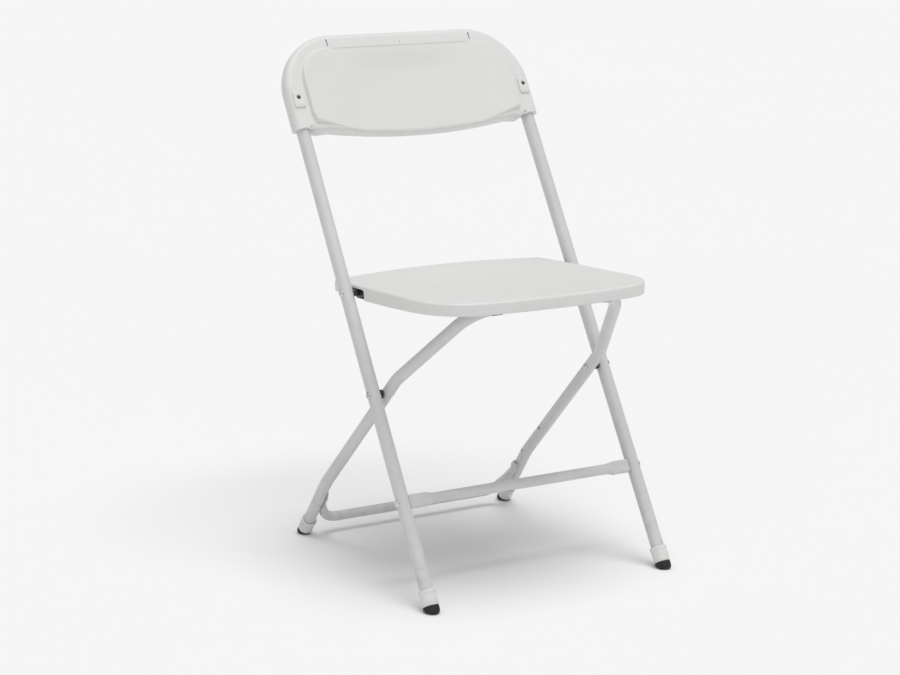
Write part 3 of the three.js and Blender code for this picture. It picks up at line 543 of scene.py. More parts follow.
def grain_group():
    """Height of a moulded or sprayed skin: rounded cells softened by noise."""

    def fill(tree, given):
        cells = node(
            tree,
            "ShaderNodeTexVoronoi",
            {"Vector": given["Vector"], "Scale": given["Scale"], "Randomness": 1.0},
            feature="SMOOTH_F1",
        ).outputs["Distance"]
        double = maths(tree, "MULTIPLY", given["Scale"], 2.1)
        grit = noise(tree, given["Vector"], double, 2.0, 0.5)
        return [maths(tree, "ADD", maths(tree, "MULTIPLY", cells, 0.6), maths(tree, "MULTIPLY", grit, 0.4))]

    return shader_group("Grain", [("Vector", VECTOR), ("Scale", VALUE)], [("Height", VALUE)], fill)


def chip_group():
    """Sparse chips: the core of a few random cells, ragged by noise, with a wider rim round each."""

    def fill(tree, given):
        cells = node(
            tree,
            "ShaderNodeTexVoronoi",
            {"Vector": given["Vector"], "Scale": given["Scale"], "Randomness": 1.0},
            feature="F1",
        )
        picked = maths(
            tree,
            "LESS_THAN",
            node(tree, "ShaderNodeSeparateColor", {"Color": cells.outputs["Color"]}).outputs["Red"],
            given["Share"],
        )
        ragged = noise(tree, given["Vector"], maths(tree, "MULTIPLY", given["Scale"], 14.0), 3.0, 0.7)
        edge = maths(tree, "MULTIPLY", maths(tree, "SUBTRACT", ragged, 0.5), given["Size"])
        reach = maths(tree, "ADD", cells.outputs["Distance"], maths(tree, "MULTIPLY", edge, 1.6))
        inside = maths(tree, "DIVIDE", reach, given["Size"])
        chip = maths(tree, "MULTIPLY", picked, spread(tree, inside, 0.62, 0.85, 1.0, 0.0))
        rim = maths(tree, "MULTIPLY", picked, spread(tree, inside, 0.8, 1.5, 1.0, 0.0))
        return [chip, rim]

    inputs = [("Vector", VECTOR), ("Scale", VALUE), ("Share", VALUE), ("Size", VALUE)]
    return shader_group("Chips", inputs, [("Chip", VALUE), ("Rim", VALUE)], fill)


def scuff_group():
    """Fine lines along one direction: a stretched noise kept only near its middle value."""

    def fill(tree, given):
        drawn = node(
            tree,
            "ShaderNodeVectorMath",
            {0: given["Vector"], 1: given["Stretch"]},
            operation="MULTIPLY",
        ).outputs["Vector"]
        lines = noise(tree, drawn, 1.0, 2.0, 0.5, 0.4)
        close = maths(tree, "ABSOLUTE", maths(tree, "SUBTRACT", lines, 0.5))
        thin = spread(tree, close, 0.0, 0.018, 1.0, 0.0)
        patches = spread(tree, noise(tree, given["Vector"], given["Patches"], 2.0, 0.5), 0.5, 0.72)
        return [maths(tree, "MULTIPLY", thin, patches)]

    inputs = [("Vector", VECTOR), ("Stretch", VECTOR), ("Patches", VALUE)]
    return shader_group("Scuffs", inputs, [("Mask", VALUE)], fill)


def grime_group():
    """Dirt that thickens towards the floor: height above it, eased and broken up by noise."""

    def fill(tree, given):
        up = node(tree, "ShaderNodeSeparateXYZ", {"Vector": given["Vector"]}).outputs["Z"]
        low = spread(tree, up, 0.0, given["Reach"], 1.0, 0.0)
        broken = spread(tree, noise(tree, given["Vector"], 70.0, 5.0, 0.65), 0.38, 0.75)
        return [maths(tree, "MULTIPLY", low, broken)]

    return shader_group("Grime", [("Vector", VECTOR), ("Reach", VALUE)], [("Mask", VALUE)], fill)


# ---- materials ---------------------------------------------------------------------------------
def new_material(name):
    """An empty node material with its shader, its tree and the two kinds of coordinates."""
    made = bpy.data.materials.new(name)
    made.use_nodes = True
    tree = made.node_tree
    tree.nodes.clear()
    shader = tree.nodes.new("ShaderNodeBsdfPrincipled")
    output = tree.nodes.new("ShaderNodeOutputMaterial")
    tree.links.new(shader.outputs["BSDF"], output.inputs["Surface"])
    place = tree.nodes.new("ShaderNodeTexCoord").outputs["Object"]
    coat = node(tree, "ShaderNodeAttribute", attribute_name="coat").outputs["Vector"]
    return made, tree, shader, place, coat


def material(name, build):
    """The material of a name, built the first time that it is asked for."""
    return bpy.data.materials.get(name) or build(name)


def bump(tree, shader, height, strength, distance, under=None):
    """A Bump node that feeds the shader's normal."""
    inputs = {"Height": height, "Strength": strength, "Distance": distance}
    if under is not None:
        inputs["Normal"] = under
    normal = node(tree, "ShaderNodeBump", inputs).outputs["Normal"]
    tree.links.new(normal, shader.inputs["Normal"])
    return normal


def paint_material(name):
    """Sprayed grey paint on steel: orange peel, lengthwise scuffs, chips to the primer, floor dirt."""
    made, tree, shader, place, coat = new_material(name)
    paint, primer, grime = colours().paint, colours().primer, colours().grime
    darker = tuple(0.86 * c for c in paint)
    tint = use_group(tree, tint_group(), {"Vector": place, "Scale": 9.0})["Mask"]
    base = mixed(tree, maths(tree, "MULTIPLY", tint, 0.55), tuple(paint), darker)
    stretch = (2600.0, 2600.0, 28.0)
    scuffs = use_group(tree, scuff_group(), {"Vector": coat, "Stretch": stretch, "Patches": 16.0})["Mask"]
    base = mixed(tree, maths(tree, "MULTIPLY", scuffs, 0.35), base, tuple(0.55 * c for c in paint))
    dirt = use_group(tree, grime_group(), {"Vector": place, "Reach": 0.22})["Mask"]
    base = mixed(tree, maths(tree, "MULTIPLY", dirt, 0.32), base, tuple(grime))
    large = use_group(tree, chip_group(), {"Vector": coat, "Scale": 34.0, "Share": 0.50, "Size": 0.12})
    small = use_group(tree, chip_group(), {"Vector": coat, "Scale": 60.0, "Share": 0.15, "Size": 0.14})
    chip = maths(tree, "MAXIMUM", large["Chip"], small["Chip"])
    rim = maths(tree, "MAXIMUM", large["Rim"], small["Rim"])
    base = mixed(tree, maths(tree, "MULTIPLY", rim, 0.30), base, tuple(0.6 * c for c in paint))
    base = mixed(tree, chip, base, tuple(primer))
    tree.links.new(base, shader.inputs["Base Color"])
    rough = maths(tree, "ADD", 0.42, maths(tree, "MULTIPLY", tint, 0.08))
    rough = maths(tree, "ADD", rough, maths(tree, "MULTIPLY", scuffs, 0.20))
    rough = maths(tree, "ADD", rough, maths(tree, "MULTIPLY", maths(tree, "MAXIMUM", chip, dirt), 0.3), True)
    tree.links.new(rough, shader.inputs["Roughness"])
    peel = use_group(tree, grain_group(), {"Vector": coat, "Scale": 420.0})["Height"]
    skin = bump(tree, shader, peel, 0.10, 0.0006)
    bump(tree, shader, maths(tree, "SUBTRACT", 1.0, chip), 0.6, 0.0002, skin)
    shader.inputs["Coat Weight"].default_value = 0.10
    shader.inputs["Coat Roughness"].default_value = 0.22
    return made


def plastic_material(name, tone, grain, grain_strength, reach):
    """Moulded plastic: a fine sparked grain, slow tint, faint rub marks and a little dirt."""
    made, tree, shader, place, _coat = new_material(name)
    tone = np.array(tone)
    tint = use_group(tree, tint_group(), {"Vector": place, "Scale": 7.0})["Mask"]
    base = mixed(tree, maths(tree, "MULTIPLY", tint, 0.45), tuple(tone), tuple(tone * (0.94, 0.93, 0.90)))
    rubs = maths(
        tree,
        "MAXIMUM",
        *[
            use_group(tree, scuff_group(), {"Vector": place, "Stretch": stretch, "Patches": 9.0})["Mask"]
            for stretch in ((160.0, 900.0, 900.0), (700.0, 90.0, 700.0))
        ],
    )
    base = mixed(tree, maths(tree, "MULTIPLY", rubs, 0.16), base, tuple(tone * 0.62))
    specks = use_group(tree, chip_group(), {"Vector": place, "Scale": 60.0, "Share": 0.05, "Size": 0.05})
    base = mixed(tree, maths(tree, "MULTIPLY", specks["Chip"], 0.45), base, tuple(tone * 0.4))
    dirt = use_group(tree, grime_group(), {"Vector": place, "Reach": reach})["Mask"]
    base = mixed(tree, maths(tree, "MULTIPLY", dirt, 0.45), base, tuple(colours().grime))
    tree.links.new(base, shader.inputs["Base Color"])
    height = use_group(tree, grain_group(), {"Vector": place, "Scale": grain})["Height"]
    rough = maths(tree, "ADD", 0.40, maths(tree, "MULTIPLY", tint, 0.08))
    rough = maths(tree, "ADD", rough, maths(tree, "MULTIPLY", height, 0.10))
    rough = maths(tree, "ADD", rough, maths(tree, "MULTIPLY", maths(tree, "MAXIMUM", rubs, dirt), 0.15), True)
    tree.links.new(rough, shader.inputs["Roughness"])
    skin = bump(tree, shader, height, grain_strength, 0.0004)
    bump(tree, shader, maths(tree, "SUBTRACT", 1.0, rubs), 0.25, 0.00006, skin)
    shader.inputs["IOR"].default_value = 1.49
    return made


def metal_material(name, tone, rough_from, worn):
    """Plated steel: rings of turning marks, patches of dull plating and brown specks."""
    made, tree, shader, place, coat = new_material(name)
    tone = np.array(tone)
    tint = use_group(tree, tint_group(), {"Vector": place, "Scale": 160.0})["Mask"]
    base = mixed(tree, tint, tuple(tone), tuple(tone * 0.62))
    specks = use_group(tree, chip_group(), {"Vector": place, "Scale": 420.0, "Share": worn, "Size": 0.30})
    base = mixed(tree, specks["Rim"], base, (0.10, 0.055, 0.03))
    tree.links.new(base, shader.inputs["Base Color"])
    distance = node(tree, "ShaderNodeVectorMath", {0: coat}, operation="LENGTH").outputs["Value"]
    rings = noise(tree, node(tree, "ShaderNodeCombineXYZ", {"X": distance}).outputs["Vector"], 2600.0, 1.0)
    rough = maths(tree, "ADD", rough_from, maths(tree, "MULTIPLY", tint, 0.16))
    rough = maths(tree, "ADD", rough, maths(tree, "MULTIPLY", specks["Rim"], 0.35), True)
    tree.links.new(rough, shader.inputs["Roughness"])
    metal = maths(tree, "SUBTRACT", 1.0, maths(tree, "MULTIPLY", specks["Chip"], 0.8))
    tree.links.new(metal, shader.inputs["Metallic"])
    bump(tree, shader, rings, 0.12, 0.0003)
    return made


def rubber_material(name):
    """Black rubber: coarse grain with pale dust caught on it."""
    made, tree, shader, place, _coat = new_material(name)
    black = np.array(colours().rubber)
    dust = use_group(tree, grime_group(), {"Vector": place, "Reach": 0.012})["Mask"]
    base = mixed(tree, maths(tree, "MULTIPLY", dust, 0.18), tuple(black), tuple(colours().grime))
    tree.links.new(base, shader.inputs["Base Color"])
    height = use_group(tree, grain_group(), {"Vector": place, "Scale": 900.0})["Height"]
    rough = maths(tree, "ADD", 0.62, maths(tree, "MULTIPLY", height, 0.25), True)
    tree.links.new(rough, shader.inputs["Roughness"])
    bump(tree, shader, height, 0.35, 0.0004)
    return made


def paint():
    """The tubes' paint."""
    return material("grey_paint", paint_material)


def plastic():
    """The seat and backrest plastic."""
    tone = colours().plastic
    return material("moulded_plastic", lambda name: plastic_material(name, tone, 1500.0, 0.16, 0.01))


def cap_plastic():
    """The foot caps' plastic."""
    tone = colours().cap
    return material("cap_plastic", lambda name: plastic_material(name, tone, 900.0, 0.12, 0.05))


def dark_plastic():
    """The washers' and spacers' plastic."""
    tone = colours().dark_plastic
    return material("bush_plastic", lambda name: plastic_material(name, tone, 900.0, 0.2, 0.01))


def saddle_plastic():
    """The saddles' plastic."""
    tone = colours().saddle
    return material("saddle_plastic", lambda name: plastic_material(name, tone, 900.0, 0.2, 0.01))


def bright_steel():
    """The rivets' plated steel."""
    return material("bright_steel", lambda name: metal_material(name, colours().steel, 0.24, 0.10))


def dark_steel():
    """The hinges' and screws' steel."""
    return material("dark_steel", lambda name: metal_material(name, colours().dark_steel, 0.34, 0.22))


def rubber():
    """The foot pads' rubber."""
    return material("black_rubber", rubber_material)


# ---- front frame -------------------------------------------------------------------------------
def between(start, end, share):
    """A share of the way from one value to another."""
    return start + (end - start) * share


def front_half(up):
    """Half spacing of the front legs at a height up the leg."""
    return between(FRONT_HALF_FOOT, FRONT_HALF_TOP, up / FRAME_TOP)


def rear_half(up):
    """Half spacing of the rear legs at a height up the leg from the cross pivot."""
    return between(REAR_HALF_BEND, REAR_HALF_FOOT, (REAR_BEND_UP - up) / (REAR_BEND_UP + REAR_FOOT_DOWN))


def front_path():
    """Both front legs, both uprights and the bow."""
    foot = (-front_half(FRONT_TUBE_START), 0, FRONT_TUBE_START)
    return bent_path(mirrored([foot, (-FRONT_HALF_TOP, 0, FRAME_TOP)]), [BOW_R, BOW_R])


def front_frame():
    """The front tube, dented a little round each rivet."""
    size = sizes()
    grid = tube(front_path(), tube_section(size.front_tube, size.front_flat), size.tube_wall)
    for up in (SEAT_PIVOT_UP, CROSS_PIVOT_UP, CROSSBAR_UP):
        for _word, side in SIDES:
            press(grid, np.array([side * front_half(up), 0, up]), np.array([1.0, 0, 0]), 0.0003, 0.008)
    piece("front_tube", [grid.placed(FRONT)], "front_frame", paint(), ["front_frame"])


def crossbar():
    """The front crossbar: a round tube with flattened ends.

    Its section is a superellipse. From the paddle to the round middle the half height, the half
    thickness and the power ease from one to the other, and the paddle's faces are dished.
    """
    size = sizes()
    reach = front_half(CROSSBAR_UP) - size.front_flat - GAP
    corner = 0.003
    rounding = corner * (1 - np.cos(np.linspace(0, np.pi / 2, 6)))
    near = np.concatenate([rounding, np.linspace(0.006, 0.06, 28)])
    from_end = np.concatenate([near, np.linspace(0.07, reach, 14)])
    round_share = ease((from_end - PADDLE_LENGTH) / PADDLE_EASE)
    short = np.clip(corner - from_end, 0, corner)
    clipped = corner - np.sqrt(corner**2 - short**2)
    high = between(size.paddle_height, size.crossbar, round_share) - clipped
    thick = between(size.paddle_thickness, size.crossbar, round_share) - 0.4 * clipped
    power = between(6.0, 2.0, round_share)[:, None]
    angle = np.linspace(0, 2 * np.pi, TUBE_SIDES, endpoint=False)
    c, s = np.cos(angle), np.sin(angle)
    up = np.sign(s) * np.abs(s) ** (2 / power) * high[:, None]
    dished = 1 - 0.16 * (1 - round_share)[:, None] * bell(up, 0.0045)
    back = np.sign(c) * np.abs(c) ** (2 / power) * thick[:, None] * dished
    across = np.broadcast_to((from_end - reach)[:, None], up.shape)
    left = np.stack([across, back, up + CROSSBAR_UP], -1)
    right = (left * (-1, 1, 1))[-2::-1]
    rings = np.concatenate([left, right])
    poles = [np.repeat(ring.mean(0)[None, None], TUBE_SIDES, 1) for ring in (rings[0], rings[-1])]
    rings = np.concatenate([poles[0], rings, poles[1]])
    coat = rings[..., [1, 2, 0]]
    grid = Grid(FRONT.place(rings), coat)
    piece("crossbar", [grid], "front_frame", paint(), ["front_crossbar"])


# ---- rivets, washers and spacers ---------------------------------------------------------------
RIVET_R = 0.003
RIVET_HEAD_R = 0.006
RIVET_HEAD = 0.0022
RIVET_HOLE_R = 0.0016
RIVET_HOLE_DEEP = 0.0020
RIVET_INNER_HEAD_R = 0.0046
INNER_HEAD_IN = 0.0022  # the hinge plate and the clearance behind it
CROSSBAR_RIVET_IN = 0.018


def rivet_head(radius, height):
    """Profile of a head from its pole to its rim: a hollow, a crest round it and a falling dome.

    Outside the crest the height is the head's times the root of 1 - t^2.6, with t the way from
    the crest to the rim.
    """
    crest = RIVET_HOLE_R + 0.0005
    r = crest + (radius - crest) * np.sin(np.linspace(0, np.pi / 2, 14))
    dome = height * (1 - ((r - crest) / (radius - crest)) ** 2.6) ** 0.5
    floor = height - RIVET_HOLE_DEEP
    hollow = [
        (0, floor),
        (RIVET_HOLE_R - 0.0002, floor),
        (RIVET_HOLE_R, floor + 0.0002),
        (RIVET_HOLE_R, height - 0.0004),
        (RIVET_HOLE_R + 0.0002, height - 0.0001),
    ]
    return np.concatenate([hollow, np.stack([r, dome], -1)])


def rivet(name, up, inner, inner_head):
    """A pair of rivets: head outside the leg, shank, and a smaller head inside."""
    for word, side in SIDES:
        outer = front_half(up) + sizes().front_flat - 0.0002
        outside = rivet_head(RIVET_HEAD_R, RIVET_HEAD) + (0, outer)
        if inner_head:
            inside = (rivet_head(inner_head, RIVET_HEAD * 0.8) * (1, -1) + (0, inner))[::-1]
        else:
            inside = np.array([[RIVET_R, inner], [0, inner]])
        profile = np.concatenate([outside, [[RIVET_R, outer], [RIVET_R, inner]], inside])
        grid = turned(profile, (0, 0, up), (side, 0, 0)).placed(FRONT)
        piece(f"{name}_{word}", [grid], "front_frame", bright_steel(), [f"{name}_{word}"])


def rivets():
    """The rivets at the seat pivots, the cross pivots and the crossbar's ends."""
    reach = front_half(CROSSBAR_UP) - sizes().front_flat - GAP
    rivet("seat_pivot_rivet", SEAT_PIVOT_UP, HINGE_PLATE_OUT - INNER_HEAD_IN, RIVET_INNER_HEAD_R)
    rivet("cross_pivot_rivet", CROSS_PIVOT_UP, rear_half(0) - sizes().rear_tube, RIVET_INNER_HEAD_R)
    rivet("crossbar_rivet", CROSSBAR_UP, reach - CROSSBAR_RIVET_IN, 0)


def ring_profile(bore, rim, start, end, edge):
    """A rounded rectangle profile between a bore and a rim, closed on itself."""
    middle = np.array([(bore + rim) / 2, (start + end) / 2])
    outline = superellipse((rim - bore) / 2, (end - start) / 2, edge, 24)
    return outline + middle


def washers():
    """Washers at the cross pivots and spacers at the seat pivots."""
    size = sizes()
    bore = RIVET_R + GAP
    leg = rear_half(0) + size.rear_tube
    rows = (
        ("cross_pivot_washer", "rear_legs", REAR, 0.0071, leg - 0.0004, CROSS_PIVOT_UP),
        ("seat_pivot_spacer", "seat", SEAT, 0.0060, HINGE_PLATE_OUT + 0.0001, SEAT_PIVOT_UP),
    )
    for name, body, axes, rim, start, up in rows:
        end = front_half(up) - size.front_flat - 0.0001
        for word, side in SIDES:
            profile = ring_profile(bore, rim, start, end, 5)
            grid = turned(profile, (0, 0, 0), (side, 0, 0)).placed(axes)
            grid.rows_close = True
            piece(f"{name}_{word}", [grid], body, dark_plastic(), [f"{name}_{word}"])


# ---- screws ------------------------------------------------------------------------------------
def cross_screw(origin, direction, head_radius, head_height, shank_radius, shank):
    """A pan-head screw with a cross recess.

    The head's height at radius r is a flattened dome, less a recess as deep as half the head
    wherever the point lies within one of two crossed slots.
    """
    rings = head_radius * np.linspace(0, 1, 15) ** 0.9
    dome = head_height * (1 - (rings / head_radius) ** 3.5) ** 0.5
    profile = np.concatenate(
        [np.stack([rings, dome], -1), [[shank_radius, 0], [shank_radius, -shank], [0, -shank]]]
    )
    grid = turned(profile, (0, 0, 0), (0, 0, 1), 48)
    x, y = grid.points[..., 0], grid.points[..., 1]
    wide, arm = 0.00055, head_radius * 0.62
    slot = np.maximum(
        ease((wide - np.abs(x)) / 0.0002 + 0.5) * (np.abs(y) < arm),
        ease((wide - np.abs(y)) / 0.0002 + 0.5) * (np.abs(x) < arm),
    )
    in_head = np.zeros(len(profile))
    in_head[: len(rings)] = 1
    grid.points[..., 2] -= slot * 0.6 * head_height * in_head[:, None]
    direction = unit(direction)
    side = unit(np.cross(direction, (1.0, 0.3, 0.2)))
    basis = np.stack([side, np.cross(direction, side), direction])
    grid.points = grid.points @ basis + np.asarray(origin, float)
    return grid


# ---- backrest ----------------------------------------------------------------------------------
BACK_CORNER_R = 0.100
BACK_BOTTOM_MID = 0.765
BACK_EDGE_R = 0.009
PAD_HALF = 0.193
PAD_TOP = 0.917
PAD_CORNER_R = 0.056
PAD_BOTTOM_SIDE = 0.793
PAD_BOTTOM_MID = 0.767
PAD_MIDDLE = 0.845
PAD_TOP_DEPTH = 0.0128
PAD_RISE_FROM = 0.872
PAD_BEAD = 0.0011
PAD_BEAD_IN = 0.0040
SLEEVE_EDGE = 0.12
SLEEVE_BLEND = 0.020
OUTLINE_COUNTS = (20, 12, 8, 18, 26, 24)
PARTING_GAP = 0.00015
PARTING_EDGE = 0.0003
PARTING_EDGE_DEEP = 0.0006
SLIT_X = 0.1325
SLIT_UP = 0.9265
SLIT_HALVES = (0.0013, 0.0062)
SLIT_FROM = 0.0085
MARK_UP = 0.9225
MARK_R = 0.0011
MARK_FROM = 0.012
CUT_BEYOND = 0.030


def back_outline(inset):
    """The backrest's outline: sleeves at the sides, round top corners, a sagging lower edge."""
    size = sizes()
    half, radius, top = size.back_half - inset, BACK_CORNER_R - inset, size.back_top - inset
    bottom = size.back_bottom + inset
    sleeve = half - 2 * size.back_thick + 2 * inset
    sag, bulge, sleeve_end, side, corner, crown = OUTLINE_COUNTS
    middle = BACK_BOTTOM_MID + inset
    sag_end = (sleeve - 0.040, bottom - 0.006)
    right = [
        bezier([(0, middle), (0.080, middle), sag_end], np.linspace(0, 1, sag, endpoint=False)),
        bezier(
            [sag_end, (sleeve - 0.024, bottom - 0.002), (sleeve - 0.010, bottom - 0.012), (sleeve, bottom)],
            np.linspace(0, 1, bulge, endpoint=False),
        ),
        line((sleeve, bottom), (half, bottom), sleeve_end),
        line((half, bottom), (half, top - radius), side),
        arc((half - radius, top - radius), radius, 0, np.pi / 2, corner),
        np.linspace((half - radius, top), (0, top), crown),
    ]
    return both_halves(np.concatenate(right))


def pad_outline(inset):
    """The raised pad's outline, with as many points as the backrest's and beside them."""
    half, radius, top = PAD_HALF - inset, PAD_CORNER_R - inset, PAD_TOP - inset
    sag, bulge, sleeve_end, side, corner, crown = OUTLINE_COUNTS
    lower = [
        (0, PAD_BOTTOM_MID + inset),
        (0.090, PAD_BOTTOM_MID + 0.001 + inset),
        (half - 0.004, PAD_BOTTOM_SIDE + inset),
    ]
    split = 0.8
    t = np.concatenate(
        [np.linspace(0, split, sag, endpoint=False), np.linspace(split, 1, bulge, endpoint=False)]
    )
    right = [
        bezier(lower, t),
        line(lower[-1], (half, PAD_BOTTOM_SIDE + 0.014), sleeve_end),
        line((half, PAD_BOTTOM_SIDE + 0.014), (half, top - radius), side),
        arc((half - radius, top - radius), radius, 0, np.pi / 2, corner),
        np.linspace((half - radius, top), (0, top), crown),
    ]
    return both_halves(np.concatenate(right))


def pad_depth(outline):
    """How far the pad's face stands forward at points across and up the leg.

    A parabola across the chair, least in the middle, with a narrow bead along each side edge.
    Towards the top the middle comes forward, so that little of a step is left there.
    """
    size = sizes()
    x, up = outline[:, 0], outline[:, 1]
    dished = size.pad_front - size.pad_hollow * (1 - (x / PAD_HALF) ** 2)
    bead = PAD_BEAD * bell(PAD_HALF - PAD_BEAD_IN - np.abs(x), PAD_BEAD_IN)
    raised = np.maximum(dished, PAD_TOP_DEPTH)
    return between(dished, raised, ease((up - PAD_RISE_FROM) / (PAD_TOP - PAD_RISE_FROM))) + bead


def shell_grid(rings):
    """Outlines with their forward distances as one surface in the front frame's axes."""
    rows = [(outline, np.broadcast_to(depth, len(outline))) for outline, depth in rings]
    return Grid(np.array([np.stack([line[:, 0], -depth, line[:, 1]], -1) for line, depth in rows]))


def shrunk(outline, middle, count, power=1.0):
    """An outline drawn in towards a middle point in steps, the last of them the point itself."""
    shares = (1 - np.linspace(0, 1, count + 1)[1:]) ** power
    return [middle + (outline - middle) * share for share in shares]


def back_front_rings():
    """Rings of the front shell, from a pole on its parting face out and round to the pad's middle.

    Along the sides and the top, the rings climb the rounded rim to its flat, then step to the pad
    over a fillet and a quarter round. Along the lower edge they round straight into the pad. The
    two are mixed by a share that eases from the middle of the lower edge out to the pad's corners.
    """
    size = sizes()
    middle = np.array([0, PAD_MIDDLE])
    whole, pad_foot = back_outline(0), pad_outline(-0.0016)
    thick, edge = size.back_thick, BACK_EDGE_R
    room = np.linalg.norm(whole - pad_foot, axis=1)
    inset_limit = np.minimum(edge, 0.8 * room)[:, None] / edge
    lower = (whole[:, 1] < size.back_bottom + 0.001) & (np.abs(whole[:, 0]) < PAD_HALF)
    low_share = (lower * (1 - ease((np.abs(whole[:, 0]) - 0.060) / 0.130)))[:, None]

    inward = back_outline(edge) - whole
    on_sleeve = (np.abs(whole[:, 0]) > PAD_HALF) * (1 - ease((whole[:, 1] - size.back_bottom) / SLEEVE_BLEND))
    inward[:, 1] *= between(1, SLEEVE_EDGE, on_sleeve)
    quarter = np.radians(np.linspace(0, 90, 9))
    rim = [
        (whole + inward * inset_limit * (1 - math.cos(a)), thick - edge + edge * math.sin(a))
        for a in quarter
    ]
    rim_end = rim[-1][0]
    flat = [(between(rim_end, pad_foot, share), thick) for share in (0.25, 0.5, 0.75, 1)]
    foot = [(pad_outline(-0.0010), 0.02), (pad_outline(-0.0005), 0.08), (pad_outline(0), 0.22)]
    crown_r = 0.0034
    crown = [
        (pad_outline(0.0001 + crown_r * (1 - math.cos(a))), 0.38 + 0.62 * math.sin(a))
        for a in np.radians(np.linspace(0, 90, 8))
    ]
    step = [(outline, between(thick, pad_depth(outline), share)) for outline, share in foot + crown]
    generic = rim + flat + step

    lower_r = 0.0075
    round_under = np.radians(np.linspace(0, 90, len(generic)))
    lower_inward = back_outline(lower_r) - whole
    rings = [(back_outline(PARTING_EDGE), PARTING_GAP), (whole, PARTING_EDGE_DEEP)]
    for (outline, depth), a in zip(generic, round_under):
        low = whole + lower_inward * (1 - math.cos(a))
        low_depth = pad_depth(low) - lower_r * (1 - math.sin(a))
        depth = np.broadcast_to(depth, len(outline))
        share = low_share[:, 0]
        rings.append((between(outline, low, low_share), between(depth, low_depth, share)))
    closing = [(outline, PARTING_GAP) for outline in shrunk(rings[0][0], middle, 3)]
    inner = rings[-1][0]
    face = [(outline, pad_depth(outline)) for outline in shrunk(inner, middle, 30)]
    return closing[::-1] + rings + face


def back_rear_rings():
    """Rings of the rear shell: a rounded rim, a flat, and a shallow sunk panel."""
    size = sizes()
    middle = np.array([0, PAD_MIDDLE])
    whole = back_outline(0)
    thick, edge = size.back_thick, BACK_EDGE_R
    quarter = np.radians(np.linspace(0, 90, 9))
    rings = [(back_outline(PARTING_EDGE), PARTING_GAP), (whole, PARTING_EDGE_DEEP)]
    rings += [
        (back_outline(edge * (1 - math.cos(a))), thick - edge + edge * math.sin(a)) for a in quarter
    ]
    sink, sink_from, sink_to = 0.0022, 0.010, 0.0145
    rings += [
        (pad_outline(between(sink_from, sink_to, share)), thick - sink * ease(share))
        for share in np.linspace(0, 1, 8)
    ]
    closing = [(outline, PARTING_GAP) for outline in shrunk(rings[0][0], middle, 3)]
    face = [(outline, thick - sink) for outline in shrunk(rings[-1][0], middle, 10)]
    return [(outline, -depth) for outline, depth in closing[::-1] + rings + face]


def boss(side):
    """A raised boss round the screw: superellipse rings up its wall, in to a round hole and down it."""
    base, top, hole = 0.0125, 0.0170, 0.0036
    centre = np.array([side * BACK_SCREW_X, BACK_SCREW_UP - 0.003])
    screw = np.array([side * BACK_SCREW_X, BACK_SCREW_UP])
    rows = [
        (centre, 0.0100, 0.0145, 9, base),
        (centre, 0.0094, 0.0139, 9, sizes().back_thick + 0.0002),
        (centre, 0.0090, 0.0135, 9, sizes().back_thick + 0.0007),
        (centre, 0.0089, 0.0134, 9, top - 0.0007),
        (centre, 0.0087, 0.0132, 9, top - 0.0002),
        (centre, 0.0082, 0.0127, 9, top),
        (screw, hole + 0.0008, hole + 0.0008, 2, top),
        (screw, hole + 0.0002, hole + 0.0002, 2, top - 0.0002),
        (screw, hole, hole, 2, top - 0.0006),
        (screw, hole, hole, 2, base + 0.0006),
        (screw, 0, 0, 2, base + 0.0006),
    ]
    rings = [
        (middle + superellipse(wide, high, power, 48), depth)
        for middle, wide, high, power, depth in rows
    ]
    rings.insert(0, (np.repeat([centre], 48, axis=0), base))
    return shell_grid(rings).placed(FRONT)


def prism(outline, start, end, lay):
    """A closed outline carried straight from start to end; lay turns (outline, distance) to points."""
    middle = np.repeat(outline.mean(0)[None], len(outline), axis=0)
    rows = [(middle, start), (outline, start), (outline, end), (middle, end)]
    return Grid(np.array([lay(ring, distance) for ring, distance in rows]))


def facing_front(outline, depth):
    """Outline in X and up the leg at a forward distance, in the chair's frame."""
    return FRONT.place(np.stack([outline[:, 0], np.full(len(outline), -depth), outline[:, 1]], -1))


def backrest():
    """Front and rear shells with the tube's channel, slits and mould mark cut out, and the bosses."""
    size = sizes()
    clearance = 0.0005
    section = tube_section(size.front_tube + clearance, size.front_flat + clearance)
    channel = tube(front_path(), section, 0.002).placed(FRONT)
    slits = [
        prism(superellipse(*SLIT_HALVES, 6, 20) + (x, SLIT_UP), SLIT_FROM, CUT_BEYOND, facing_front)
        for x in (-SLIT_X, SLIT_X)
    ]
    spot = superellipse(MARK_R, MARK_R, 2, 20) + (0, MARK_UP)
    mark = prism(spot, MARK_FROM, CUT_BEYOND, facing_front)
    piece(
        "backrest_front",
        [shell_grid(back_front_rings()).placed(FRONT)],
        "front_frame",
        plastic(),
        ["backrest_front_shell"],
        cutters=[channel, *slits, mark],
    )
    piece(
        "backrest_rear",
        [shell_grid(back_rear_rings()).placed(FRONT)],
        "front_frame",
        plastic(),
        ["backrest_rear_shell"],
        cutters=[channel],
    )
    for word, side in SIDES:
        piece(f"backrest_boss_{word}", [boss(side)], "front_frame", plastic())
        origin = FRONT.place((side * BACK_SCREW_X, -0.0135, BACK_SCREW_UP))
        screw = cross_screw(origin, FRONT.direction((0, -1, 0)), 0.0032, 0.0020, 0.0017, 0.010)
        name = f"backrest_screw_{word}"
        piece(name, [screw], "front_frame", dark_steel(), [name])


# ---- rear legs ---------------------------------------------------------------------------------
def knee(side):
    """Where a rear leg bends down to its foot."""
    return np.array([side * rear_half(-KNEE_DOWN), 0, -KNEE_DOWN])


def rear_floor(side):
    """Where a rear leg's axis meets the floor."""
    return np.array([side * REAR_HALF_FOOT, REAR_FOOT_OFFSET, -REAR_FOOT_DOWN])


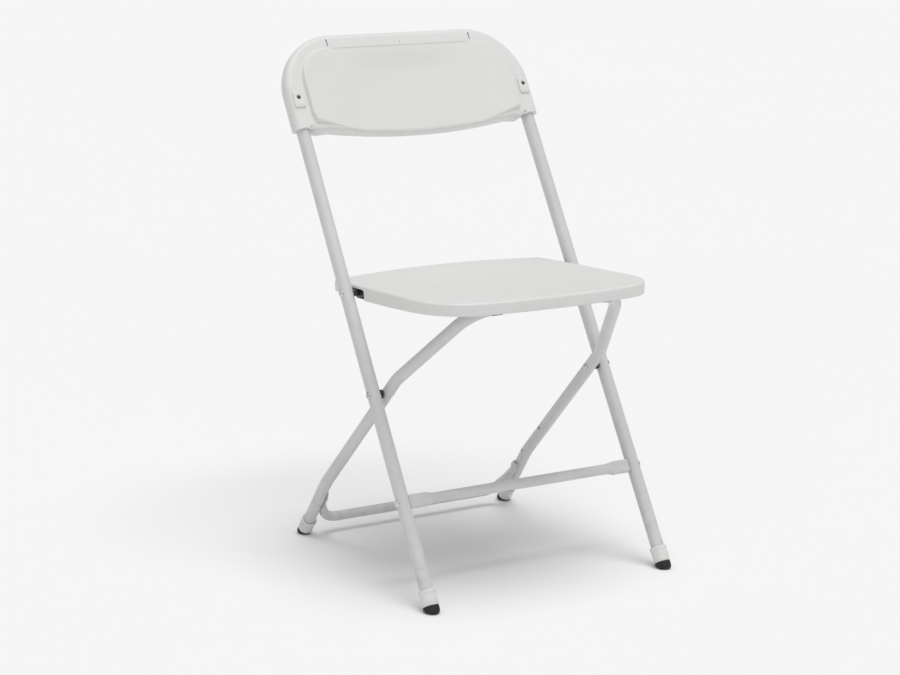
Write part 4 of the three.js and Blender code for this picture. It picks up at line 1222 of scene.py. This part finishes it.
def up_from_foot(side):
    """Direction from a rear foot to its knee."""
    return unit(knee(side) - rear_floor(side))


def shin():
    """Direction down a rear leg from its knee, seen from the side."""
    return unit((0, REAR_FOOT_OFFSET, KNEE_DOWN - REAR_FOOT_DOWN))


def brace_point(down):
    """A point of the left side of the brace, measured down from the knee."""
    spacing = rear_half(-KNEE_DOWN - down) - sizes().rear_tube - sizes().brace_tube - 1.5 * GAP
    return np.array([-spacing, 0, -KNEE_DOWN]) + shin() * down


def weld_bead(centre, along, phase):
    """A lumpy weld: an ellipsoid whose thickness ripples along its length."""
    rows, columns = 18, 14
    polar = np.linspace(0, np.pi, rows)[:, None]
    around = np.linspace(0, 2 * np.pi, columns, endpoint=False)
    ripple = 1 + 0.16 * np.sin(7 * polar + phase)
    x = 0.0021 * np.sin(polar) * np.cos(around) * ripple
    y = 0.0021 * np.sin(polar) * np.sin(around) * ripple
    z = 0.0075 * np.cos(polar) * np.ones(columns)
    side = np.array([1.0, 0, 0])
    basis = np.stack([side, np.cross(along, side), along])
    return Grid(np.stack([x, y, z], -1) @ basis + centre)


def flattened_ends(grid, foot):
    """Presses the brace's ends flat against the legs and round them.

    With d the distance down the leg, a share eases from 1 at the end to 0 where the tube is
    round again. A point keeps that part of its distance from the leg's side that the share
    leaves, its place across the leg shrinks a little, and it follows the leg's round by
    R - root(R^2 - q^2), with q its place across.
    """
    size = sizes()
    points = grid.points
    from_knee = points - (0, 0, -KNEE_DOWN)
    down = from_knee @ foot
    share = 1 - ease((down - BRACE_END_DOWN - BRACE_FLAT) / BRACE_FLAT_EASE)
    outward = np.cross((1.0, 0, 0), foot)
    across = from_knee @ outward
    moved = across * BRACE_NARROWED * share
    wrap_r = size.rear_tube + GAP
    wrap = wrap_r - np.sqrt(wrap_r**2 - np.clip(across + moved, -0.9 * wrap_r, 0.9 * wrap_r) ** 2)
    leg_side = rear_half(-KNEE_DOWN - down) - size.rear_tube - GAP
    kept = between(1, BRACE_PRESSED, share)
    reach = leg_side - (leg_side - np.abs(points[..., 0])) * kept + 0.8 * wrap * share
    points += moved[..., None] * outward
    points[..., 0] = np.sign(points[..., 0]) * reach


def rear_legs():
    """The rear leg tube with its loop, the cross brace and the welds between them."""
    size = sizes()
    corners = [
        rear_floor(-1) + up_from_foot(-1) * REAR_TUBE_CUT,
        knee(-1),
        (-REAR_HALF_BEND, 0, REAR_BEND_UP),
        (-CROSS_TUBE_HALF, CROSS_TUBE_DROP, CROSS_TUBE_UP),
    ]
    radii = [KNEE_R, TOP_BEND_R, LOOP_R, LOOP_R, TOP_BEND_R, KNEE_R]
    legs = tube(bent_path(mirrored(corners), radii), tube_section(size.rear_tube, 1.0), size.tube_wall)
    for _word, side in SIDES:
        press(legs, np.array([side * rear_half(0), 0, 0]), np.array([1.0, 0, 0]), 0.0006, 0.007)
    piece("rear_leg_tube", [legs.placed(REAR)], "rear_legs", paint(), ["rear_leg_frame"])

    run = mirrored([brace_point(BRACE_END_DOWN), brace_point(BRACE_RUN_DOWN)])
    brace = tube(bent_path(run, [BRACE_BEND_R] * 2), tube_section(size.brace_tube, 1.0), size.tube_wall)
    flattened_ends(brace, shin())
    piece("rear_brace_tube", [brace.placed(REAR)], "rear_legs", paint(), ["rear_cross_brace"])

    outward = np.cross((1.0, 0, 0), shin())
    for word, side in SIDES:
        beads = []
        for down in WELDS_DOWN:
            start = brace_point(down) * (-side, 1, 1)
            seam = start + np.array([side * (size.brace_tube - 0.0006), 0, 0])
            beads += [
                weld_bead(seam + outward * WELD_OUT * face, shin(), down * 900 + face) for face in (-1, 1)
            ]
        grids = [bead.placed(REAR) for bead in beads]
        piece(f"brace_weld_{word}", grids, "rear_legs", paint())


# ---- feet --------------------------------------------------------------------------------------
CAP_TOP = 0.035
PAD_LEAST = 0.002
PAD_INSET = 0.0004


def spokes(axis, segments):
    """Even angles round an axis, and the unit vectors square to it at them."""
    u = unit(np.cross(axis, (1.0, 0, 0)))
    v = np.cross(axis, u)
    angle = np.linspace(0, 2 * np.pi, segments, endpoint=False)[:, None]
    return angle, np.cos(angle) * u + np.sin(angle) * v


def level_ring(origin, axis, radius, level, segments=40):
    """A ring on a cylinder where it meets a level plane: height h = (level - radius r_z) / axis_z."""
    _angle, around = spokes(axis, segments)
    height = (level - radius * around[:, 2:]) / axis[2]
    return origin + radius * around + height * axis


def square_ring(origin, axis, radius, height, wave=0.0, segments=40):
    """A ring square to the cylinder, whose height waves three times round it."""
    angle, around = spokes(axis, segments)
    return origin + radius * around + (height + wave * np.sin(3 * angle + origin[0] * 9)) * axis


def foot(name, body, axes, tube_radius, floor_point, direction):
    """A plastic cap cut square to the leg, with a slightly loose lip, over a wedge of rubber.

    The cap starts where rubber of the least height is left under its lowest point. The wedge's
    rings lie between a level ring on the floor and a square ring under the cap, by a share.
    """
    origin, axis = axes.place(floor_point), unit(axes.direction(direction))
    outer = tube_radius + sizes().cap_over
    bore = tube_radius + GAP
    square = (PAD_LEAST + outer * math.sqrt(1 - axis[2] ** 2)) / axis[2]
    upright = [
        (0, square + 0.0002, 0),
        (outer - 0.0007, square + 0.0002, 0),
        (outer - 0.0002, square + 0.0005, 0),
        (outer, square + 0.0012, 0),
        (outer + 0.0001, 0.0200, 0),
        (outer, 0.0270, 0.0001),
        (outer + 0.0002, 0.0300, 0.0003),
        (outer + 0.0009, 0.0312, 0.0004),
        (outer + 0.0010, CAP_TOP - 0.0014, 0.0005),
        (outer + 0.0006, CAP_TOP - 0.0004, 0.0005),
        (outer - 0.0004, CAP_TOP, 0.0005),
        (bore + 0.0004, CAP_TOP - 0.0003, 0.0005),
        (bore, CAP_TOP - 0.0010, 0.0004),
        (bore, CAP_TOP - 0.0060, 0),
        (0, CAP_TOP - 0.0060, 0),
    ]
    cap = [square_ring(origin, axis, radius, height, wave) for radius, height, wave in upright]
    cap_name, pad_name = name.replace("@", "cap"), name.replace("@", "pad")
    piece(cap_name, [Grid(np.array(cap))], body, cap_plastic(), [cap_name])
    rim = outer - PAD_INSET
    rows = [
        (0, 0),
        (rim - 0.0085, 0),
        (rim - 0.0055, 0.04),
        (rim - 0.0032, 0.11),
        (rim - 0.0014, 0.22),
        (rim - 0.0004, 0.36),
        (rim, 0.52),
        (rim, 0.97),
        (rim - 0.0003, 1),
        (0, 1),
    ]
    pad = [
        between(level_ring(origin, axis, radius, 0), square_ring(origin, axis, radius, square), share)
        for radius, share in rows
    ]
    piece(pad_name, [Grid(np.array(pad))], body, rubber(), [pad_name])


def feet():
    """All four feet."""
    front, rear = sizes().front_tube, sizes().rear_tube
    for word, side in SIDES:
        lean = (side * (FRONT_HALF_TOP - FRONT_HALF_FOOT), 0, FRAME_TOP)
        floor = (side * FRONT_HALF_FOOT, 0, 0)
        foot(f"front_foot_@_{word}", "front_frame", FRONT, front, floor, lean)
        foot(f"rear_foot_@_{word}", "rear_legs", REAR, rear, rear_floor(side), up_from_foot(side))


# ---- seat --------------------------------------------------------------------------------------
SEAT_FRONT_BOW = 0.0106
SEAT_CORNER_R = 0.082
SEAT_REAR_R = 0.009
SEAT_REAR_ARCH = 0.006
SKIRT_DEEPER = 0.0032
SKIRT_FROM = -0.205
SKIRT_FULL = -0.060
SKIRT_BACK = 0.030
SKIRT_BACK_EASE = 0.020
SEAT_EDGE_R = 0.0034
BOWL_HALF_WIDTH = 0.187
BOWL_HALF_LENGTH = 0.158
BOWL_MIDDLE = -0.112
LIP_FROM = -0.030
LIP_TO = 0.070
LIP_FALL = 1.45
HINGE_SCREW_X = 0.182
HINGE_SCREWS_Y = (-0.024, 0.024)
HINGE_SCREW_Z = 0.0056
SADDLES = (("left", -0.098), ("middle", 0.0), ("right", 0.098))
SADDLE_SCREW_BACK = 0.022
SADDLE_SCREW_Z = 0.0045
RIB_BOTTOM = 0.0012
RIBS_X = (-0.110, 0.0, 0.110)
RIBS_Y = (-0.180, -0.100, -0.020)
RIBS_FRONT_END = -0.215
RIBS_REAR_END = 0.062
REAR_RIB_HALF = 0.172
POCKET_HALVES = (0.0210, 0.0133)
POCKET_MIDDLE = (-0.007, -0.0067)
POCKET_IN = 0.1905
POCKET_OUT = 0.212
SEAT_MIDDLE_Y = -0.105


def seat_outline(inset):
    """The seat's outline: a parabola at the front, round corners, straight sides, an arched rear.

    The corner's arc starts where its slope meets the parabola's, found by repeating the estimate.
    """
    size = sizes()
    half, half_rear = size.seat_half - inset, size.seat_half_rear - inset
    front, rear = -size.seat_front + inset, size.seat_rear
    radius, rear_r = SEAT_CORNER_R - inset, SEAT_REAR_R - min(inset, 0.008)
    start_x = half - radius
    for _turn in range(6):
        slope = math.atan(2 * SEAT_FRONT_BOW / start_x)
        start_x = half - radius + radius * math.sin(slope)
    x = np.linspace(0, start_x, 24, endpoint=False)
    bow = np.stack([x, front + SEAT_FRONT_BOW * (x / start_x) ** 2], -1)
    corner = np.array([half - radius, front + SEAT_FRONT_BOW + radius * math.cos(slope)])
    back_corner = np.array([half_rear - rear_r, rear - rear_r])
    turn_end = np.radians(72)
    arch_start = back_corner + rear_r * np.array([math.cos(turn_end), math.sin(turn_end)])
    arch_top = rear + SEAT_REAR_ARCH - inset
    right = [
        bow,
        arc(corner, radius, slope - np.pi / 2, 0, 26),
        line((half, corner[1]), (half_rear, back_corner[1]), 24),
        arc(back_corner, rear_r, 0, turn_end, 8),
        bezier([arch_start, (half_rear * 0.5, arch_top), (0, arch_top)], np.linspace(0, 1, 26)),
    ]
    return both_halves(np.concatenate(right))


def seat_height(points):
    """Height of the seat's upper face: the rim, less a bowl, plus a lip that eases up at the rear.

    The lip falls off as the square of the distance from the middle, to below the rim at the
    rear corners.

    The bowl is the dish depth times (1 - r squared)^1.6, with r the elliptical distance from its
    middle.
    """
    size = sizes()
    x, y = points[:, 0], points[:, 1]
    r2 = (x / BOWL_HALF_WIDTH) ** 2 + ((y - BOWL_MIDDLE) / BOWL_HALF_LENGTH) ** 2
    bowl = size.seat_dish * np.clip(1 - r2, 0, None) ** 1.6
    lip = size.seat_lip * (1 - LIP_FALL * (x / size.seat_half) ** 2)
    return size.seat_top - bowl + lip * ease((y - LIP_FROM) / (LIP_TO - LIP_FROM))


def skirt_bottom(outline):
    """Height of the skirt's lower edge: deeper beside the hinges, by 1 - (1 - t)^2 from the front."""
    y = outline[:, 1]
    t = np.clip((y - SKIRT_FROM) / (SKIRT_FULL - SKIRT_FROM), 0, 1)
    share = (1 - (1 - t) ** 2) * (1 - ease((y - SKIRT_BACK) / SKIRT_BACK_EASE))
    return -sizes().seat_skirt - SKIRT_DEEPER * share


def seat_rings():
    """Rings of the seat, from the middle of its top over the rim, down the skirt and up inside."""
    size = sizes()
    middle = np.array([0, SEAT_MIDDLE_Y])
    wall, edge, bottom = size.seat_wall, SEAT_EDGE_R, skirt_bottom(seat_outline(0))

    def at(outline, drop=0.0):
        return outline, seat_height(outline) - drop

    top = [at(outline) for outline in shrunk(seat_outline(0.010), middle, 26)[::-1]]
    top += [at(seat_outline(inset)) for inset in (0.010, 0.0065, 0.0045)]
    rim = [
        at(seat_outline(edge * (1 - math.cos(a))), edge * (1 - math.sin(a)))
        for a in np.radians(np.linspace(90, 0, 8))
    ]
    draft = 0.0005
    edge_height = rim[-1][1]
    skirt = [
        (seat_outline(draft * share), between(edge_height, bottom + 0.0008, share))
        for share in (0.25, 0.5, 0.75, 1.0)
    ]
    under = [
        (seat_outline(draft + 0.0003), bottom + 0.0002),
        (seat_outline(draft + 0.0008), bottom),
        (seat_outline(wall - 0.0004), bottom),
        (seat_outline(wall), bottom + 0.0005),
    ]
    inside_r = 0.0016
    inner_top = at(seat_outline(wall), wall + inside_r)[1]
    inside = [
        (seat_outline(wall), between(bottom + 0.0005, inner_top, share)) for share in (0.4, 0.8)
    ]
    inside += [
        at(seat_outline(wall + inside_r * (1 - math.cos(a))), wall + inside_r * (1 - math.sin(a)))
        for a in np.radians(np.linspace(0, 90, 5))
    ]
    ceiling = [at(outline, wall) for outline in shrunk(seat_outline(wall + inside_r), middle, 16)]
    return top + rim + skirt + under + inside + ceiling


def rib(start, end):
    """A stiffening rib under the panel: a thin tapered section carried from start to end.

    Its lower edge is level and rounded, and its upper edge follows the panel half way into it.
    """
    start, end = np.array(start), np.array(end)
    share = np.linspace(0, 1, 25)[:, None]
    spine = between(start, end, share)
    across = unit(np.array([start[1] - end[1], end[0] - start[0]]))
    ceiling = seat_height(spine) - sizes().seat_wall * 0.5
    low = np.full(len(spine), RIB_BOTTOM)
    rows = ((-0.0012, ceiling), (-0.0009, low + 0.0006), (-0.0005, low), (0.0005, low),
            (0.0009, low + 0.0006), (0.0012, ceiling))
    lines = [np.concatenate([spine + across * out, height[:, None]], -1) for out, height in rows]
    rings = np.stack(lines, 1)
    poles = [np.repeat(ring.mean(0)[None, None], len(rows), 1) for ring in (rings[0], rings[-1])]
    return Grid(np.concatenate([poles[0], rings, poles[1]]))


def screw_boss(x, y, low):
    """A round boss under the panel for a screw."""
    high = float(seat_height(np.array([[x, y]]))[0]) - sizes().seat_wall * 0.5
    profile = [(0, low), (0.0046, low), (0.0050, low + 0.0004), (0.0053, high), (0, high)]
    return turned(profile, (x, y, 0), (0, 0, 1), 28)


def cross_tube_in_seat():
    """The rear loop's cross tube in the seat's axes."""
    point = REAR.place((0, CROSS_TUBE_DROP, CROSS_TUBE_UP))
    return (point - SEAT.origin) @ SEAT.turn


def facing_side(outline, x):
    """Outline in Y and Z of the seat at a place across it, in the chair's frame."""
    return SEAT.place(np.stack([np.full(len(outline), x), outline[:, 0], outline[:, 1]], -1))


def seat():
    """The seat shell with its two hinge pockets, and the ribs and bosses under it."""
    size = sizes()
    rings = [
        np.concatenate([outline, np.broadcast_to(height, len(outline))[:, None]], -1)
        for outline, height in seat_rings()
    ]
    pocket = superellipse(*POCKET_HALVES, 8, 32) + POCKET_MIDDLE
    pockets = [
        prism(pocket, side * POCKET_IN, side * POCKET_OUT, facing_side) for _word, side in SIDES
    ]
    shell = Grid(np.array(rings)).placed(SEAT)
    piece("seat_panel", [shell], "seat", plastic(), ["seat_shell"], cutters=pockets)

    screw_y = cross_tube_in_seat()[1] + SADDLE_SCREW_BACK
    inner = size.seat_half_rear - size.seat_wall * 0.5
    under = [rib((x, RIBS_FRONT_END), (x, RIBS_REAR_END)) for x in RIBS_X]
    under += [rib((-inner, y), (inner, y)) for y in RIBS_Y[:2]]
    under += [rib((-REAR_RIB_HALF, RIBS_Y[2]), (REAR_RIB_HALF, RIBS_Y[2]))]
    under += [
        screw_boss(side * HINGE_SCREW_X, y, HINGE_SCREW_Z + 0.0022)
        for _word, side in SIDES
        for y in HINGE_SCREWS_Y
    ]
    under += [screw_boss(x, screw_y, SADDLE_SCREW_Z + 0.0026) for _word, x in SADDLES]
    piece("seat_ribs", [grid.placed(SEAT) for grid in under], "seat", plastic())

    down = SEAT.direction((0, 0, -1))
    places = [
        (f"seat_hinge_screw_{end}_{word}", side * HINGE_SCREW_X, y, HINGE_SCREW_Z)
        for word, side in SIDES
        for end, y in zip(("front", "rear"), HINGE_SCREWS_Y)
    ]
    places += [(f"seat_saddle_screw_{word}", x, screw_y, SADDLE_SCREW_Z) for word, x in SADDLES]
    for name, x, y, z in places:
        screw = cross_screw(SEAT.place((x, y, z)), down, 0.0032, 0.0018, 0.0017, 0.0040)
        piece(name, [screw], "seat", dark_steel(), [name])


def brackets():
    """The hinge plates and the saddles keep their shape and take a fuller finish."""
    nodes = frame["nodes"]
    for word, _side in SIDES:
        nodes[f"seat_hinge_{word}"].material_slots[0].material = dark_steel()
    for word, _x in SADDLES:
        nodes[f"seat_saddle_{word}"].material_slots[0].material = saddle_plastic()


# ---- stage -------------------------------------------------------------------------------------
CAMERA_TARGET = (-0.0517, -0.0230, 0.3571)
CAMERA_AZIMUTH = math.radians(-31.37)
CAMERA_ELEVATION = math.radians(12.86)
CAMERA_ROLL = math.radians(0.54)
CAMERA_DISTANCE = 3.690
CAMERA_LENS = 94.6
WORLD_STRENGTH = 0.51


def camera():
    """A long lens from the front left, a little above the seat, rolled by half a degree."""
    data = bpy.data.cameras.new("camera")
    data.lens = CAMERA_LENS
    data.sensor_width = 36
    data.clip_end = 100
    obj = bpy.data.objects.new("camera", data)
    bpy.context.scene.collection.objects.link(obj)
    a, e = CAMERA_AZIMUTH, CAMERA_ELEVATION
    back = Vector((math.sin(a) * math.cos(e), -math.cos(a) * math.cos(e), math.sin(e)))
    right = Vector((math.cos(a), math.sin(a), 0))
    up = back.cross(right)
    rolled = right * math.cos(CAMERA_ROLL) + up * math.sin(CAMERA_ROLL)
    turn = Matrix((rolled, back.cross(rolled), back)).transposed()
    obj.matrix_world = Matrix.Translation(Vector(CAMERA_TARGET) + back * CAMERA_DISTANCE) @ turn.to_4x4()
    bpy.context.scene.camera = obj


def sun(name, azimuth, elevation, strength, softness):
    """A very soft distant light, so that the floor is lit evenly."""
    data = bpy.data.lights.new(name, "SUN")
    data.energy = strength
    data.angle = math.radians(softness)
    obj = bpy.data.objects.new(name, data)
    bpy.context.scene.collection.objects.link(obj)
    a, e = math.radians(azimuth), math.radians(elevation)
    toward = Vector((math.sin(a) * math.cos(e), -math.cos(a) * math.cos(e), math.sin(e)))
    obj.rotation_mode = "QUATERNION"
    obj.rotation_quaternion = toward.to_track_quat("Z", "Y")


def floor_material(name):
    """Plain matt floor."""
    made, tree, shader, place, _coat = new_material(name)
    tone = tuple(colours().floor)
    tint = use_group(tree, tint_group(), {"Vector": place, "Scale": 0.6})["Mask"]
    base = mixed(tree, maths(tree, "MULTIPLY", tint, 0.2), tone, tuple(0.985 * c for c in tone))
    tree.links.new(base, shader.inputs["Base Color"])
    shader.inputs["Roughness"].default_value = 1.0
    shader.inputs["Specular IOR Level"].default_value = 0.0
    return made


def stage():
    """A wide pale floor, a pale world, soft lights and the camera."""
    scene = bpy.context.scene
    scene.view_settings.view_transform = "Standard"
    world = bpy.data.worlds.new("pale_room")
    world.use_nodes = True
    background = world.node_tree.nodes["Background"]
    background.inputs["Color"].default_value = (0.915, 0.920, 0.920, 1)
    background.inputs["Strength"].default_value = WORLD_STRENGTH
    scene.world = world
    reach = 60.0
    corner = np.array([[-reach, -reach, 0], [reach, -reach, 0], [reach, reach, 0], [-reach, reach, 0]])
    mesh = bpy.data.meshes.new("floor")
    mesh.from_pydata(corner, [], [(0, 1, 2, 3)])
    mesh.materials.append(material("pale_floor", floor_material))
    floor = bpy.data.objects.new("floor", mesh)
    scene.collection.objects.link(floor)
    sun("key_light", azimuth=25, elevation=80, strength=1.66, softness=40)
    sun("fill_light", azimuth=-40, elevation=35, strength=0.16, softness=60)
    camera()


# ---- operators ---------------------------------------------------------------------------------
class CHAIR_OT_front_frame(bpy.types.Operator):
    """Build the front frame's tube and its crossbar"""

    bl_idname = "chair.front_frame"
    bl_label = "Front Frame"
    bl_options = {"REGISTER", "UNDO"}

    def execute(self, context):
        front_frame()
        crossbar()
        return {"FINISHED"}


class CHAIR_OT_rear_legs(bpy.types.Operator):
    """Build the rear leg tube, its brace and its welds"""

    bl_idname = "chair.rear_legs"
    bl_label = "Rear Legs"
    bl_options = {"REGISTER", "UNDO"}

    def execute(self, context):
        rear_legs()
        return {"FINISHED"}


class CHAIR_OT_backrest(bpy.types.Operator):
    """Build the two backrest shells, the bosses and their screws"""

    bl_idname = "chair.backrest"
    bl_label = "Backrest"
    bl_options = {"REGISTER", "UNDO"}

    def execute(self, context):
        backrest()
        return {"FINISHED"}


class CHAIR_OT_seat(bpy.types.Operator):
    """Build the seat, its ribs and its screws, and finish its brackets"""

    bl_idname = "chair.seat"
    bl_label = "Seat"
    bl_options = {"REGISTER", "UNDO"}

    def execute(self, context):
        seat()
        brackets()
        return {"FINISHED"}


class CHAIR_OT_rivets(bpy.types.Operator):
    """Build the rivets at the seat pivots, the cross pivots and the crossbar"""

    bl_idname = "chair.rivets"
    bl_label = "Rivets"
    bl_options = {"REGISTER", "UNDO"}

    def execute(self, context):
        rivets()
        return {"FINISHED"}


class CHAIR_OT_washers(bpy.types.Operator):
    """Build the washers and spacers at the pivots"""

    bl_idname = "chair.washers"
    bl_label = "Washers"
    bl_options = {"REGISTER", "UNDO"}

    def execute(self, context):
        washers()
        return {"FINISHED"}


class CHAIR_OT_feet(bpy.types.Operator):
    """Build the foot caps and their rubber pads"""

    bl_idname = "chair.feet"
    bl_label = "Feet"
    bl_options = {"REGISTER", "UNDO"}

    def execute(self, context):
        feet()
        return {"FINISHED"}


class CHAIR_OT_stage(bpy.types.Operator):
    """Build the floor, the lights and the camera"""

    bl_idname = "chair.stage"
    bl_label = "Stage"
    bl_options = {"REGISTER", "UNDO"}

    def execute(self, context):
        stage()
        return {"FINISHED"}


OPERATORS = (
    CHAIR_OT_front_frame,
    CHAIR_OT_rear_legs,
    CHAIR_OT_backrest,
    CHAIR_OT_seat,
    CHAIR_OT_rivets,
    CHAIR_OT_washers,
    CHAIR_OT_feet,
    CHAIR_OT_stage,
)


class CHAIR_PT_panel(bpy.types.Panel):
    """Lists the chair's operators, sizes and colours"""

    bl_idname = "CHAIR_PT_panel"
    bl_label = "Folding Chair"
    bl_space_type = "VIEW_3D"
    bl_region_type = "UI"
    bl_category = "Chair"

    def draw(self, context):
        for operator in OPERATORS:
            self.layout.operator(operator.bl_idname)
        for group in (context.scene.chair_sizes, context.scene.chair_colours):
            box = self.layout.box()
            for name in group.__annotations__:
                box.prop(group, name)


CLASSES = (ChairSizes, ChairColours, *OPERATORS, CHAIR_PT_panel)


def register():
    """Adds the classes and the scene's settings."""
    for cls in CLASSES:
        bpy.utils.register_class(cls)
    bpy.types.Scene.chair_sizes = bpy.props.PointerProperty(type=ChairSizes)
    bpy.types.Scene.chair_colours = bpy.props.PointerProperty(type=ChairColours)


def unregister():
    """Takes them away again."""
    del bpy.types.Scene.chair_colours
    del bpy.types.Scene.chair_sizes
    for cls in reversed(CLASSES):
        bpy.utils.unregister_class(cls)


def main():
    """Builds the chair and its stage."""
    register()
    for operator in OPERATORS:
        group, name = operator.bl_idname.split(".")
        getattr(getattr(bpy.ops, group), name)()
    bpy.context.view_layer.update()


if __name__ == "__main__":
    main()
